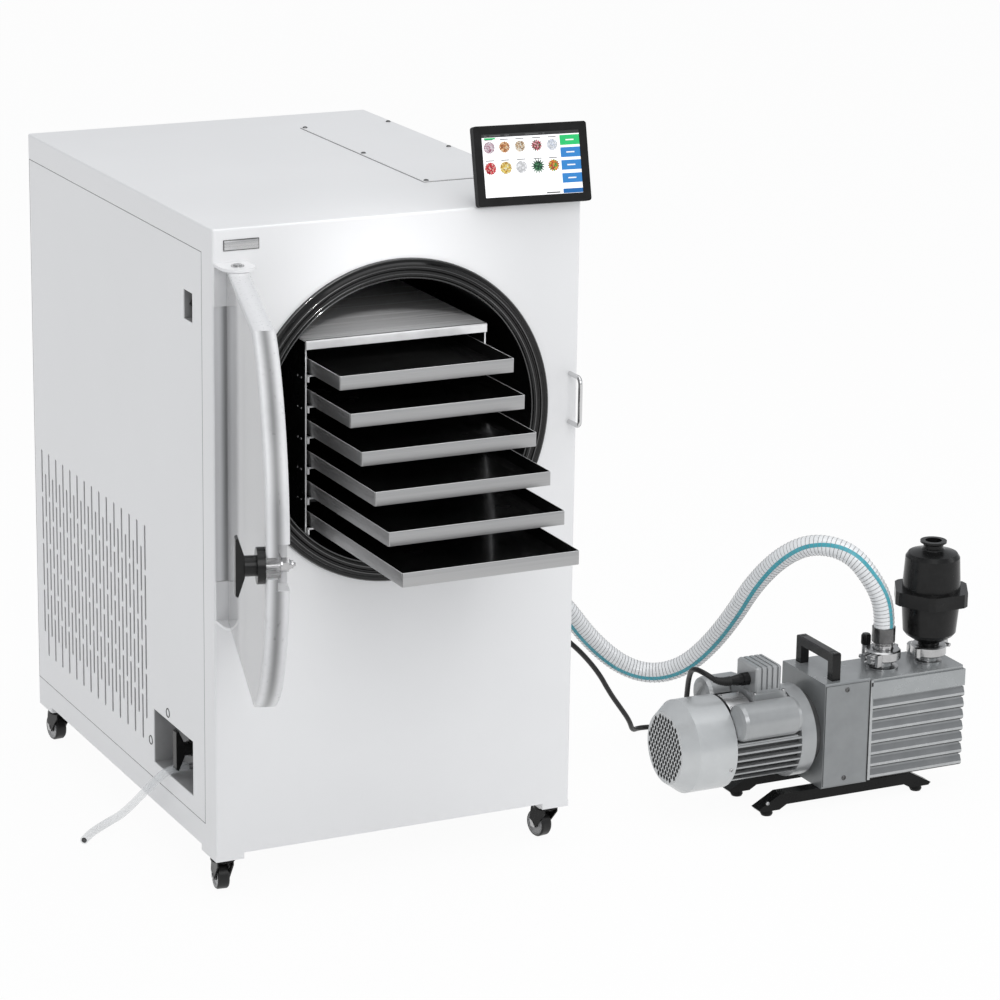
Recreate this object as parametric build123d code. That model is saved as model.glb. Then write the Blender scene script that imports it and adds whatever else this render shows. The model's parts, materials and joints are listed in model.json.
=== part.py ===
from build123d import *
import os
from math import cos, hypot, pi, radians, sin, sqrt, tan

# Freeze dryer: a white sheet-metal cabinet on castors with a round vacuum chamber, six trays,
# a thick clear door and a touch screen, and the rotary vane pump that a clear hose joins to it.
# Millimetres, +Z up, X along the front from its left edge, Y from the front face to the back.
# The floor is Z = 0 while the pieces are made; the whole is centred on its base at the end.

# ---- Cabinet ---------------------------------------------------------------------------------
cabinet_width = 550
cabinet_depth = 735
cabinet_height = 890
floor_gap = 66           # from the floor to the underside of the cabinet
sheet = 1.5              # cabinet sheet metal
bend = 3                 # outer radius of the shell's folds
seam = 0.5               # visible gap around each panel
front_strip = 40         # part of each side that belongs to the welded shell
top_strip = 38
bottom_strip = 35.5
panel_return = 12        # inward fold around each panel
floor_flange = 20        # inward fold under the shell
pan_thickness = 2.5
pan_height = 24

# ---- Vents in the side panels ----------------------------------------------------------------
vent_first = 266         # from the front face to the first column
vent_pitch = 15.6
vent_columns = 29
vent_rows = 4
vent_length = 68
vent_width = 5.6
vent_row_gap = 6.5
vent_top = 409           # above the cabinet's underside
vent_stagger = 35        # how much lower every second column starts

# ---- Service cover on top --------------------------------------------------------------------
cover_margin = 7         # from the cover to the cabinet's right side
cover_width = 148
cover_front = 183
cover_depth = 442
cover_lap = 14           # how far the cover laps over the edge of its opening

# ---- Recesses in the left panel --------------------------------------------------------------
pocket_wall = 1.2
pocket_flange = 9
drain_y = 85
drain_z = 61             # above the cabinet's underside
drain_length = 152
drain_height = 81
drain_depth = 40
switch_y = 74
switch_z = 746.5
switch_length = 32
switch_height = 41
switch_depth = 20
rocker_length = 13
rocker_height = 20
rocker_fit = 0.4

# ---- Castors ---------------------------------------------------------------------------------
block_length = 55
block_width = 42
block_height = 9
castor_side = 22         # swivel axis from the side of the cabinet
castor_end = 30          # swivel axis from the front or back of the cabinet
castor_plate = 38
castor_plate_thickness = 2.5
wheel_diameter = 40
wheel_width = 18
wheel_trail = 14
axle_diameter = 6
kingpin_diameter = 10
fork_thickness = 2
castor_turns = (83, 100, 95, 60)    # which way each wheel trails

# ---- Chamber ---------------------------------------------------------------------------------
chamber_height = 599.8   # centre above the cabinet's underside
chamber_offset = 1.5     # centre left of the cabinet's middle
chamber_radius = 203.5
chamber_wall = 3
chamber_depth = 560
chamber_head = 6
flange_radius = 222
flange_thickness = 3
gasket_radius = 229
gasket_depth = 9
insulation_thickness = 29
insulation_short = 25.5  # how far the jacket ends before the drum's back

# ---- Rack, shelves and trays -----------------------------------------------------------------
rack_width = 272
rack_front = 8
rack_depth = 440
rack_top = 724           # above the cabinet's underside
rack_plate = 2
rack_lip = 12
rail_leg = 14
rail_thickness = 1.5
shelf_thickness = 1.5
heater_thickness = 1.5
tray_count = 6
tray_pitch = 43.3
tray_first_top = 697.5   # above the cabinet's underside
tray_width = 260
tray_length = 410
tray_height = 19.5
tray_wall = 1
tray_corner = 2.5
tray_clearance = 0.3
tray_home = 30           # front of a tray that is pushed home, behind the front face
tray_pulled = (94.4, 129.4, 166.3, 210.5, 254.0, 298.6)    # how far each front stands out

# ---- Door ------------------------------------------------------------------------------------
door_thickness = 30
door_height = 493
door_reach = 506         # from the hinge axis to the free edge
door_round = 269         # radius of the round side
door_edge = 4            # rounding of the slab's rim
door_open = 106.8        # degrees
door_gap = 12            # from the front face to the closed door
door_drop = 6.5          # middle of the door below the chamber's centre
hinge_side = 25          # hinge axis from the side of the cabinet
hinge_pin = 10
hinge_depth = 22
hinge_tab = 4
hinge_tab_radius = 24
hinge_leg = 55
hinge_leg_thickness = 3
latch_inset = 16         # stud axis from the free edge
latch_drop = 12          # stud axis below the door's middle
latch_slot = 28
latch_recess = 60
stud_diameter = 10
keeper_wire = 6.5
keeper_margin = 12       # from the keeper to the cabinet's right side
keeper_low = 571
keeper_high = 641
keeper_reach = 33
keeper_bend = 9

# ---- Touch screen ----------------------------------------------------------------------------
screen_width = 166
screen_height = 110
screen_thickness = 13
screen_bezel = 11
screen_tilt = 15         # degrees, top leaning back
screen_yaw = 5.5         # degrees, turned towards the door
screen_centre = 468.4
screen_overhang = 22
screen_lift = 3          # lower edge above the cabinet
glass_thickness = 1.2
glass_recess = 0.6
stand_width = 70
stand_depth = 62
stand_height = 70

# ---- Portal that carries the back of the chamber ---------------------------------------------
portal_side = 65         # from each side of the cabinet
portal_leg = 40
portal_place = 470       # behind the front face
portal_sheet = 3
portal_foot = 20
portal_drop = 110        # top of the portal below the chamber's centre
portal_arch = 275        # top of its opening below the chamber's centre

# ---- Refrigeration and electrics -------------------------------------------------------------
compressor_x = 160
compressor_y = 310
compressor_radius = 78
compressor_height = 190
condenser_left = 290
condenser_front = 560
condenser_width = 200
condenser_height = 200
condenser_thickness = 50
condenser_fins = 15
fan_radius = 88
fan_blades = 5
fan_hub = 22
fan_depth = 22
fan_chord = 36
fan_sheet = 2
control_width = 250
control_depth = 180
control_height = 38

# ---- Vacuum line -----------------------------------------------------------------------------
line_diameter = 28
line_back = 40           # first run behind the chamber's head
line_side = 45           # from the cabinet's right side
line_drop = 200          # below the chamber's centre
port_y = 350
port_height = 227        # above the cabinet's underside
kf_flange = 40           # diameter of a KF25 flange
kf_bore = 26
kf_pipe = 30
kf_neck = 22
clamp_radius = 27
clamp_width = 16
hose_diameter = 31
spigot_length = 20
port_stub = 14           # the cabinet port's flange stands this far out of the panel
inlet_stub = 22          # the inlet's flange stands this far above the oil box
exhaust_stub = 20
exhaust_side = 129       # exhaust axis from the left end of the oil box

# ---- Pump ------------------------------------------------------------------------------------
pump_y = 25              # centre line, behind the cabinet's front face
motor_axis = 112         # above the floor
motor_left = 722
motor_radius = 70
cover_length = 84
cover_bevel = 22
cover_wall = 1.5
grille_radius = 54
grille_pitch = 8.6
grille_hole = 3.5
barrel_length = 150
neck_length = 15         # turned neck between the motor's flange and the coupling housing
neck_radius = 56
barrel_core = 58
fin_radius = 68.5
barrel_fin = 3
barrel_fin_pitch = 11.5
barrel_fins = 9
barrel_rim = 25          # thickness of the flange at the end of the fins
terminal_place = 72      # middle of the terminal box from the fan cover
terminal_length = 56
terminal_width = 72
terminal_height = 45
front_cap = (60, 46, 28, 1, 100)     # how far in front, how high, radius, start and length
rear_cap = (58, 52, 28, 6, 64)
shaft_diameter = 14
coupling_length = 78
coupling_width = 126
coupling_height = 165
coupling_bottom = 33     # above the floor
handle_bar = 14
handle_height = 42
handle_span = 106
handle_offset = 24       # handle's centre from the left face of the coupling housing
tank_length = 168
tank_width = 100
tank_height = 158
tank_ribs = 7
tank_rib_depth = 3.5
tank_step = 4            # how far its top lies below the coupling housing's
ballast_stem = 26
ballast_radius = 7.5
filter_radius = 44
filter_height = 171
filter_band = (76, 21)   # where the hexagonal band starts, and its height
filter_across = 54       # half the width of the hexagonal band over its flats
skid_width = 22
skid_spread = 90
skid_left = 103          # past the left face of the coupling housing
skid_right = 198         # past the same face, under the oil box
skid_slope = 36
skid_web = 17            # depth of the bent channel
skid_wall = 3
foot_inset = 20
foot_radius = 9.5
foot_height = 9

# ---- Fits ------------------------------------------------------------------------------------
running_fit = 0.1        # radial clearance of a shaft in its hole
near = 0.3               # gap between a seated piece and its neighbour

# ---- Cord routes, chosen by hand -------------------------------------------------------------
hose_route = [(606, 350, 293), (642, 350, 293), (684, 350, 275), (722, 350, 232), (764, 348, 176),
              (812, 336, 132), (854, 313, 118), (892, 282, 134), (920, 250, 176), (938, 212, 232),
              (952, 172, 298), (974, 126, 352), (1002, 84, 379), (1040, 42, 372), (1068, 17, 328),
              (1084, 10.5, 288), (1084, 10.5, 258)]
cord_route = [(826, 20, 204), (807, 20, 204), (789, 30, 218), (782, 55, 220), (790, 80, 197),
              (800, 102, 164), (808, 120, 122), (816, 142, 82), (828, 170, 46), (846, 204, 20),
              (868, 242, 7), (888, 282, 4.6), (902, 320, 4.6), (910, 352, 4.6), (899, 378, 4.6),
              (872, 383, 4.6), (852, 366, 9), (838, 350, 32), (818, 342, 58), (794, 333, 88),
              (762, 319, 136), (711, 302, 190), (664, 300, 226), (620, 300, 246), (590, 300, 250),
              (566, 300, 250)]
drain_route = [(26, 172, 138), (-2, 172, 138), (-18, 184, 120), (-23, 216, 92), (-26, 256, 60),
               (-31, 294, 30), (-41, 317, 13), (-62, 311, 7), (-80, 295, 7), (-95, 276, 7)]
hose_tube = 31
cord_tube = 8
drain_tube_diameter = 12.4

# ---- Worked out from the sizes above ---------------------------------------------------------
base_z = floor_gap
top_z = base_z + cabinet_height
chamber_x = cabinet_width / 2 - chamber_offset
chamber_z = base_z + chamber_height
door_z = chamber_z - door_drop
hinge_y = -door_gap - door_thickness / 2
keeper_side = cabinet_width - keeper_margin
cover_left = cabinet_width - cover_margin - cover_width
pan_top = base_z + sheet + pan_thickness
insulation_radius = chamber_radius + chamber_wall + near + insulation_thickness
motor_right = motor_left + cover_length
coupling_left = motor_right + barrel_length
tank_left = coupling_left + coupling_length
coupling_top = coupling_bottom + coupling_height
tank_top = coupling_top - tank_step
tank_front = pump_y - coupling_width / 2
vacuum_port = (cabinet_width, port_y, base_z + port_height)


# ---- Small helpers ---------------------------------------------------------------------------
def box(x, y, z):
    """Box from three (low, high) pairs."""
    size = [high - low for low, high in (x, y, z)]
    return Pos(x[0], y[0], z[0]) * Box(*size, align=(Align.MIN, Align.MIN, Align.MIN))


def rod(start, direction, radius, length):
    """Cylinder that starts at a point and runs along a direction."""
    upright = Cylinder(radius, length, align=(Align.CENTER, Align.CENTER, Align.MIN))
    return Plane(origin=start, z_dir=direction) * upright


def turned(start, direction, profile):
    """Revolved solid: the profile is a closed outline of (radius, distance along the axis)."""
    outline = Polyline(*[(radius, 0, along) for radius, along in profile], close=True)
    return Plane(origin=start, z_dir=direction) * revolve(make_face(outline), Axis.Z)


def prism(start, direction, sides, across_flats, length):
    """Regular prism such as a nut."""
    outline = RegularPolygon(across_flats / 2, sides, major_radius=False)
    return Plane(origin=start, z_dir=direction) * extrude(outline, length)


def tube_along(points, diameter, name):
    """Round tube along straight runs that are joined by tangent arcs as large as the runs allow."""
    corners = [Vector(*point) for point in points]
    radii = []
    for before, corner, after in zip(corners, corners[1:], corners[2:]):
        shorter = min((corner - before).length, (after - corner).length)
        turn = radians((corner - before).get_angle(after - corner))
        radii.append(0.45 * shorter / tan(turn / 2))
    path = FilletPolyline(*points, radius=radii)
    section = Plane(origin=path @ 0, z_dir=path % 0) * Circle(diameter / 2)
    tube = sweep(section, path=path)
    expected = pi * diameter ** 2 / 4 * path.length
    print(f"{name}: length {path.length:.0f}, radii {min(radii):.0f} to {max(radii):.0f}, "
          f"volume over section times length {tube.volume / expected:.4f}")
    return tube


# ---- Cabinet ---------------------------------------------------------------------------------
def cabinet_shell():
    """Front, top and bottom flange in one welded piece, with a window in each side."""
    outer = box((0, cabinet_width), (0, cabinet_depth), (base_z, top_z))
    uprights = outer.edges().filter_by(Axis.Z).sort_by(Axis.Y)[:2]
    top_edges = outer.faces().sort_by(Axis.Z)[-1].edges().sort_by(Axis.Y)[:3]
    shell = fillet(list(uprights) + list(top_edges), bend)
    shell -= box((sheet, cabinet_width - sheet), (sheet, cabinet_depth + 1), (base_z + sheet, top_z - sheet))
    shell -= box((-1, cabinet_width + 1), (front_strip, cabinet_depth + 1),
                 (base_z + bottom_strip, top_z - top_strip))
    shell -= box((floor_flange, cabinet_width - floor_flange), (floor_flange, cabinet_depth + 1),
                 (base_z - 1, base_z + sheet + 1))
    chamber_hole = chamber_radius + chamber_wall + near
    shell -= rod((chamber_x, -1, chamber_z), (0, 1, 0), chamber_hole, sheet + 2)
    shell -= box((cover_left + cover_lap, cover_left + cover_width - cover_lap),
                 (cover_front + cover_lap, cover_front + cover_depth - cover_lap),
                 (top_z - sheet - 1, top_z + 1))
    return shell


def vent_slots():
    """Staggered columns of upright slots with round ends, through the left wall."""
    places = []
    row_pitch = vent_length + vent_row_gap
    for column in range(vent_columns):
        y = vent_first + column * vent_pitch
        start = base_z + vent_top - (column % 2) * vent_stagger
        places += [(y, start - row * row_pitch - vent_length / 2) for row in range(vent_rows)]
    slot = Pos(-1, 0, 0) * extrude(Plane.YZ * SlotOverall(vent_length, vent_width, rotation=90), sheet + 2)
    return [Pos(0, y, z) * slot for y, z in places]


def side_panel():
    """Flat panel in the shell's window, with folded returns and vent slots."""
    y = (front_strip + seam, cabinet_depth - sheet - seam)
    z = (base_z + bottom_strip + seam, top_z - top_strip - seam)
    panel = box((0, panel_return), y, z)
    panel -= box((sheet, panel_return + 1), (y[0] + sheet, y[1] + 1), (z[0] + sheet, z[1] - sheet))
    panel -= box((sheet, panel_return + 1), (y[1] - panel_return - seam, y[1] + 1), z)
    return panel - vent_slots()


def left_side_panel():
    """Left panel, open at the drain and switch recesses."""
    panel = side_panel()
    panel -= box((-1, sheet + 1), (drain_y, drain_y + drain_length),
                 (base_z + drain_z, base_z + drain_z + drain_height))
    panel -= box((-1, sheet + 1), (switch_y, switch_y + switch_length),
                 (base_z + switch_z, base_z + switch_z + switch_height))
    return panel


def right_side_panel():
    """Right panel, with holes for the vacuum port and the pump's power cord."""
    panel = Pos(cabinet_width, 0, 0) * mirror(side_panel(), about=Plane.YZ)
    x, y, z = vacuum_port
    panel -= rod((x - sheet - 1, y, z), (1, 0, 0), kf_pipe / 2 + near, sheet + 2)
    x, y, z = cord_route[-1]
    panel -= rod((cabinet_width - sheet - 1, y, z), (1, 0, 0), 8 + near, sheet + 2)
    return panel


def fan_centre():
    """Axis of the condenser fan: its X and Z."""
    x = condenser_left + condenser_width / 2
    return x, pan_top + condenser_height / 2


def rear_panel():
    """Rear panel with folded returns, an exhaust grille of arcs and the mains inlet's cut-out."""
    x = (sheet + seam, cabinet_width - sheet - seam)
    z = (base_z + sheet + seam, top_z - sheet - seam)
    panel = box(x, (cabinet_depth - sheet - panel_return, cabinet_depth), z)
    panel -= box((x[0] + sheet, x[1] - sheet), (0, cabinet_depth - sheet), (z[0] + sheet, z[1] - sheet))
    centre_x, centre_z = fan_centre()
    for ring in range(5):
        radius = 24 + ring * 15
        slot = rod((centre_x, cabinet_depth - sheet - 1, centre_z), (0, 1, 0), radius + 8, sheet + 2)
        slot -= rod((centre_x, cabinet_depth - sheet - 2, centre_z), (0, 1, 0), radius, sheet + 4)
        slot -= box((centre_x - 5, centre_x + 5), (0, cabinet_depth + 2), (centre_z - 100, centre_z + 100))
        slot -= box((centre_x - 100, centre_x + 100), (0, cabinet_depth + 2), (centre_z - 5, centre_z + 5))
        panel -= slot
    return panel - box(*mains_cutout(near))


def mains_cutout(clearance):
    """Place of the mains inlet in the rear panel, as three (low, high) pairs."""
    x = (120 - clearance, 148 + clearance)
    z = (base_z + 60 - clearance, base_z + 82 + clearance)
    return x, (cabinet_depth - 24, cabinet_depth + 2), z


def top_cover():
    """Flat service cover that laps over its opening."""
    return box((cover_left, cover_left + cover_width), (cover_front, cover_front + cover_depth),
               (top_z, top_z + sheet))


def base_frame():
    """Folded base pan with the welded portal that carries the back of the chamber."""
    x = (sheet + near, cabinet_width - sheet - near)
    y = (sheet + near, cabinet_depth - sheet - panel_return - near)
    pan = box(x, y, (base_z + sheet, base_z + sheet + pan_height))
    pan -= box((x[0] + pan_thickness, x[1] - pan_thickness),
               (y[0] + pan_thickness, y[1] - pan_thickness), (pan_top, pan_top + pan_height))
    left, right = portal_side, cabinet_width - portal_side
    front, back = portal_place, portal_place + portal_sheet
    portal = box((left, right), (front, back), (pan_top, chamber_z - portal_drop))
    portal += box((left, right), (front, back + portal_foot), (pan_top, pan_top + portal_sheet))
    portal -= box((left + portal_leg, right - portal_leg), (front - 1, back + portal_foot + 1),
                  (pan_top - 1, chamber_z - portal_arch))
    portal -= rod((chamber_x, front - 1, chamber_z), (0, 1, 0), insulation_radius + near, portal_sheet + 2)
    return pan + portal


def side_pocket(y, z, depth):
    """Folded recess behind the left panel: flange, four walls and a back."""
    t = pocket_wall
    pocket = box((sheet, depth + t), (y[0] - t, y[1] + t), (z[0] - t, z[1] + t))
    pocket += box((sheet, sheet + t), (y[0] - pocket_flange, y[1] + pocket_flange),
                  (z[0] - pocket_flange, z[1] + pocket_flange))
    return pocket - box((-1, depth), y, z)


def rocker_place():
    """Centre of the power rocker on the back of its recess."""
    return switch_depth, switch_y + 12, base_z + switch_z + switch_height / 2


def valve_place():
    """Centre of the drain valve on the back of its recess."""
    return drain_depth, drain_y + 75, base_z + drain_z + 43


def side_pockets():
    """Recesses for the drain valve and for the power switch."""
    drain = side_pocket((drain_y, drain_y + drain_length),
                        (base_z + drain_z, base_z + drain_z + drain_height), drain_depth)
    x, y, z = valve_place()
    drain -= rod((x - 1, y, z), (1, 0, 0), 7, pocket_wall + 2)
    drain -= rod((x - 1, drain_route[0][1], drain_route[0][2]), (1, 0, 0), 5.2, pocket_wall + 2)
    switch = side_pocket((switch_y, switch_y + switch_length),
                         (base_z + switch_z, base_z + switch_z + switch_height), switch_depth)
    x, y, z = rocker_place()
    frame = box((x - 2, x + 16), (y - rocker_length / 2 - 3, y + rocker_length / 2 + 3),
                (z - rocker_height / 2 - 3, z + rocker_height / 2 + 3))
    opening = box((x - 3, x + 13), (y - rocker_length / 2 - rocker_fit, y + rocker_length / 2 + rocker_fit),
                  (z - rocker_height / 2 - rocker_fit, z + rocker_height / 2 + rocker_fit))
    return [drain, switch + frame - opening]


def power_rocker():
    """Rocker with a shallow V face, and its pivot in the middle of the frame."""
    x, y, z = rocker_place()
    half = rocker_height / 2 - 1.2
    side = make_face(Polyline((x - 4.5, z + half), (x - 1.5, z), (x - 2.5, z - half), (x + 4, z - half + 3),
                              (x + 7, z), (x + 4, z + half - 3), close=True))
    placed = Plane.XZ * side
    return Pos(0, y, 0) * extrude(placed, rocker_length / 2, both=True)


# ---- Castors ---------------------------------------------------------------------------------
def castor_places():
    """Swivel axes of the four castors: front left, front right, rear left, rear right."""
    left, right = castor_side, cabinet_width - castor_side
    front, back = castor_end, cabinet_depth - castor_end
    return [(left, front), (right, front), (left, back), (right, back)]


def castor_mounts():
    """Corner blocks, each with a castor's top plate and its riveted kingpin."""
    mounts = []
    plate_bottom = base_z - block_height - castor_plate_thickness
    for x, y in castor_places():
        left = 0 if x < chamber_x else cabinet_width - block_width
        front = 0 if y < cabinet_depth / 2 else cabinet_depth - block_length
        block = box((left, left + block_width), (front, front + block_length), (base_z - block_height, base_z))
        block += box((x - castor_plate / 2, x + castor_plate / 2), (y - castor_plate / 2, y + castor_plate / 2),
                     (plate_bottom, base_z - block_height))
        block += rod((x, y, plate_bottom), (0, 0, -1), kingpin_diameter / 2, 8.4)
        block += rod((x, y, plate_bottom - 8.4), (0, 0, -1), kingpin_diameter / 2 + 3, 1.6)
        mounts.append(block)
    return mounts


def castor_fork(place, turn):
    """Swivelling fork: a dished head round the kingpin, two slanted legs and the axle."""
    plate_bottom = base_z - block_height - castor_plate_thickness
    wheel_z = wheel_diameter / 2
    head_top = plate_bottom - near
    bore = kingpin_diameter / 2 + running_fit
    head = turned((0, 0, head_top), (0, 0, -1),
                  [(bore, 0), (16, 0), (18, 2), (18, 5.5), (15, 7.5), (bore, 7.5)])
    leg_gap = wheel_width / 2 + 1
    outline = Polyline((-14, head_top - 3), (14, head_top - 3), (19, head_top - 9), (wheel_trail + 8, wheel_z + 6),
                       (wheel_trail + 5, wheel_z - 5), (wheel_trail - 5, wheel_z - 5),
                       (-14, head_top - 11), close=True)
    plate = extrude(Plane.XZ * make_face(outline), fork_thickness)
    legs = Pos(0, -leg_gap, 0) * plate + Pos(0, leg_gap + fork_thickness, 0) * plate
    axle = rod((wheel_trail, -leg_gap - fork_thickness - 1, wheel_z), (0, 1, 0),
               axle_diameter / 2, 2 * leg_gap + 2 * fork_thickness + 2)
    legs -= rod((0, 0, head_top - 30), (0, 0, 1), kingpin_diameter / 2 + 3.5, 30)
    return Pos(*place, 0) * Rot(0, 0, turn) * (head + legs + axle)


def castor_wheel(place, turn):
    """Wheel with a crowned tread, a recessed side and a bored hub."""
    half = wheel_width / 2
    radius = wheel_diameter / 2
    bore = axle_diameter / 2 + running_fit
    wheel = turned((0, -half, radius), (0, 1, 0),
                   [(bore, 0), (7, 0), (7, 2), (radius - 6, 2), (radius - 5, 0.5), (radius - 1.5, 0.5),
                    (radius, 2.5), (radius, wheel_width - 2.5), (radius - 1.5, wheel_width - 0.5),
                    (radius - 5, wheel_width - 0.5), (radius - 6, wheel_width - 2),
                    (7, wheel_width - 2), (7, wheel_width), (bore, wheel_width)])
    return Pos(*place, 0) * Rot(0, 0, turn) * Pos(wheel_trail, 0, 0) * wheel


# ---- Drain -----------------------------------------------------------------------------------
def wing_knob(length, hub_radius, hub_length, base_radius, base_length, bar_depth):
    """Winged T knob along +X from its base, with its bar upright."""
    knob = rod((0, 0, 0), (1, 0, 0), base_radius, base_length)
    knob += rod((base_length, 0, 0), (1, 0, 0), hub_radius, hub_length)
    start = base_length + hub_length
    half = length / 2
    tip = bar_depth * 0.3
    outline = make_face(Polyline((start - 0.5, -hub_radius), (start + bar_depth - tip, -half),
                                 (start + bar_depth, -half + 2), (start + bar_depth, half - 2),
                                 (start + bar_depth - tip, half), (start - 0.5, hub_radius), close=True))
    bar = extrude(Plane.XZ * outline, hub_radius * 0.62, both=True)
    return knob + bar


def drain_valve():
    """Hexagonal valve body through the recess's back, with its stem, and the outlet nipple."""
    x, y, z = valve_place()
    body = prism((x - 12, y, z), (1, 0, 0), 6, 19, 12)
    body += rod((x, y, z), (1, 0, 0), 6.7, 26)
    body += rod((x - 20, y, z), (1, 0, 0), 4, 9)
    start = Vector(*drain_route[0])
    nipple = rod(tuple(start), (1, 0, 0), 4.9, x - start.X + 12)
    link = box((x + pocket_wall + 2, x + 12), (y - 5, start.Y + 4), (start.Z - 4.5, z + 5))
    return body + nipple + link


def drain_knob():
    """Black winged knob on the valve's stem."""
    x, y, z = valve_place()
    knob = wing_knob(60, 10, 9, 12, 5, 12)
    knob -= rod((-1, 0, 0), (1, 0, 0), 4 + running_fit, 10)
    return Pos(x - 12 - near, y, z) * Rot(0, 0, 180) * knob


# ---- Chamber ---------------------------------------------------------------------------------
def line_start():
    """Where the vacuum line leaves the back of the chamber."""
    return chamber_x + 115, chamber_depth + chamber_head, chamber_z - 40


def chamber_drum():
    """Stainless drum with a front flange and a flat head, open at the front."""
    outer = chamber_radius + chamber_wall
    drum = turned((chamber_x, -flange_thickness, chamber_z), (0, 1, 0),
                  [(chamber_radius, 0), (flange_radius, 0), (flange_radius, flange_thickness),
                   (outer, flange_thickness), (outer, flange_thickness + chamber_depth + chamber_head),
                   (0, flange_thickness + chamber_depth + chamber_head),
                   (0, flange_thickness + chamber_depth), (chamber_radius, flange_thickness + chamber_depth)])
    x, y, z = line_start()
    return drum - rod((x, y - chamber_head - 1, z), (0, 1, 0), line_diameter / 2 - 2, chamber_head + 2)


def door_gasket():
    """Moulded rubber ring over the drum's flange, with two sealing ridges."""
    inner, outer, deep = chamber_radius, gasket_radius, gasket_depth
    seat = flange_thickness + near
    return turned((chamber_x, 0, chamber_z), (0, -1, 0),
                  [(inner, seat), (inner, deep - 3), (inner + 2, deep - 1), (inner + 6, deep), (inner + 8.5, deep),
                   (inner + 10.5, deep - 2.5), (inner + 13, deep - 2.5), (inner + 15, deep - 0.5),
                   (inner + 17.5, deep - 0.5), (inner + 20, deep - 3.5), (outer - 1.5, deep - 4),
                   (outer, deep - 6), (outer, 0), (flange_radius + near, 0), (flange_radius + near, seat)])


def insulation_jacket():
    """Foam jacket round the drum behind the front wall."""
    inner = chamber_radius + chamber_wall + near
    length = chamber_depth + chamber_head - insulation_short - sheet - 4
    return turned((chamber_x, sheet + 4, chamber_z), (0, 1, 0),
                  [(inner, 0), (insulation_radius, 0), (insulation_radius, length), (inner, length)])


def shelf_heights():
    """Underside of each tray, from the top one down."""
    first = base_z + tray_first_top - tray_height
    return [first - index * tray_pitch for index in range(tray_count)]


def rack_frame():
    """Two upright side plates that stand in the drum, with an angle rail for each shelf."""
    half = rack_width / 2
    foot = chamber_z - sqrt(chamber_radius ** 2 - half ** 2) + near
    back = rack_front + rack_depth
    side = box((half - rack_plate, half), (rack_front, back), (foot, base_z + rack_top - rack_plate))
    inner = half - rack_plate
    for tray_bottom in shelf_heights():
        rail_top = tray_bottom - tray_clearance - shelf_thickness
        side += box((inner - rail_leg, inner), (rack_front - 2, back), (rail_top - rail_thickness, rail_top))
        side += box((inner - rail_thickness, inner), (rack_front - 2, back), (rail_top - 10, rail_top))
    return [Pos(chamber_x, 0, 0) * side, Pos(chamber_x, 0, 0) * mirror(side, about=Plane.YZ)]


def rack_top_plate():
    """Folded stainless plate over the rack, with a lip along its front."""
    half = rack_width / 2
    top = base_z + rack_top
    back = rack_front + rack_depth
    plate = box((chamber_x - half, chamber_x + half), (rack_front - 4, back), (top - rack_plate, top))
    plate += box((chamber_x - half, chamber_x + half), (rack_front - 4, rack_front - 4 + rack_plate),
                 (top - rack_lip, top))
    lips = plate.edges().filter_by(Axis.X).sort_by(Axis.Z)[-2:].sort_by(Axis.Y)[:1]
    return fillet(lips, rack_plate - 0.2)


def heated_shelves():
    """Shelf plates on the rails, each with a heater mat under it."""
    half = rack_width / 2 - rack_plate
    back = rack_front + rack_depth
    shelves = []
    for tray_bottom in shelf_heights():
        top = tray_bottom - tray_clearance
        shelf = box((chamber_x - half + near, chamber_x + half - near), (rack_front + 6, back),
                    (top - shelf_thickness, top))
        mat = half - rail_leg - 2
        shelf += box((chamber_x - mat, chamber_x + mat), (rack_front + 20, back - 12),
                     (top - shelf_thickness - heater_thickness, top - shelf_thickness))
        shelves.append(shelf)
    return shelves


def tray(index):
    """Open stainless tray, pulled out of the rack by its own distance."""
    half = tray_width / 2
    low = shelf_heights()[index]
    front = -tray_pulled[index]
    outer = box((-half, half), (0, tray_length), (0, tray_height))
    outer = fillet(outer.edges().filter_by(Axis.Z), tray_corner)
    inner = box((-half + tray_wall, half - tray_wall), (tray_wall, tray_length - tray_wall), (tray_wall, tray_height))
    inner = fillet(inner.edges().filter_by(Axis.Z), tray_corner - tray_wall)
    return Pos(chamber_x, front, low) * (outer - inner)


# ---- Door ------------------------------------------------------------------------------------
def on_door(shape):
    """Turn a piece that was made on the closed door to where the open door holds it."""
    axis = Pos(hinge_side, hinge_y, door_z)
    return axis * Rot(0, 0, -door_open) * shape


def door_slab():
    """Thick clear slab: straight on the hinge side, round on the other, slotted for the latch."""
    half = door_height / 2
    centre = door_reach - door_round
    crease = centre + sqrt(door_round ** 2 - half ** 2)
    outline = make_face([Line((0, half), (0, -half)), Line((0, -half), (crease, -half)),
                         ThreePointArc((crease, -half), (door_reach, 0), (crease, half)),
                         Line((crease, half), (0, half))])
    slab = extrude(Plane.XZ * outline, door_thickness / 2, both=True)
    rim = [edge for edge in slab.edges() if abs(abs(edge.center().Y) - door_thickness / 2) < 0.1
           and edge.center().X > 1]
    slab = fillet(rim, door_edge)
    slab += rod((0, 0, -half), (0, 0, 1), door_thickness / 2, door_height)
    for end in (-1, 1):
        slab -= rod((0, 0, end * (half + 1)), (0, 0, -end), hinge_pin / 2 + running_fit, hinge_depth + 2)
    stud = door_reach - latch_inset
    slot = (-latch_drop - latch_slot / 2, -latch_drop + latch_slot / 2)
    recess = (-latch_drop - latch_recess / 2, -latch_drop + latch_recess / 2)
    slab -= rod((stud - 6, -door_thickness, -latch_drop), (0, 1, 0), latch_slot / 2, 2 * door_thickness)
    slab -= box((stud - 6, door_reach + 1), (-door_thickness, door_thickness), slot)
    slab -= box((stud - 22, door_reach + 1), (0, door_thickness), recess)
    return on_door(slab)


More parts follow.
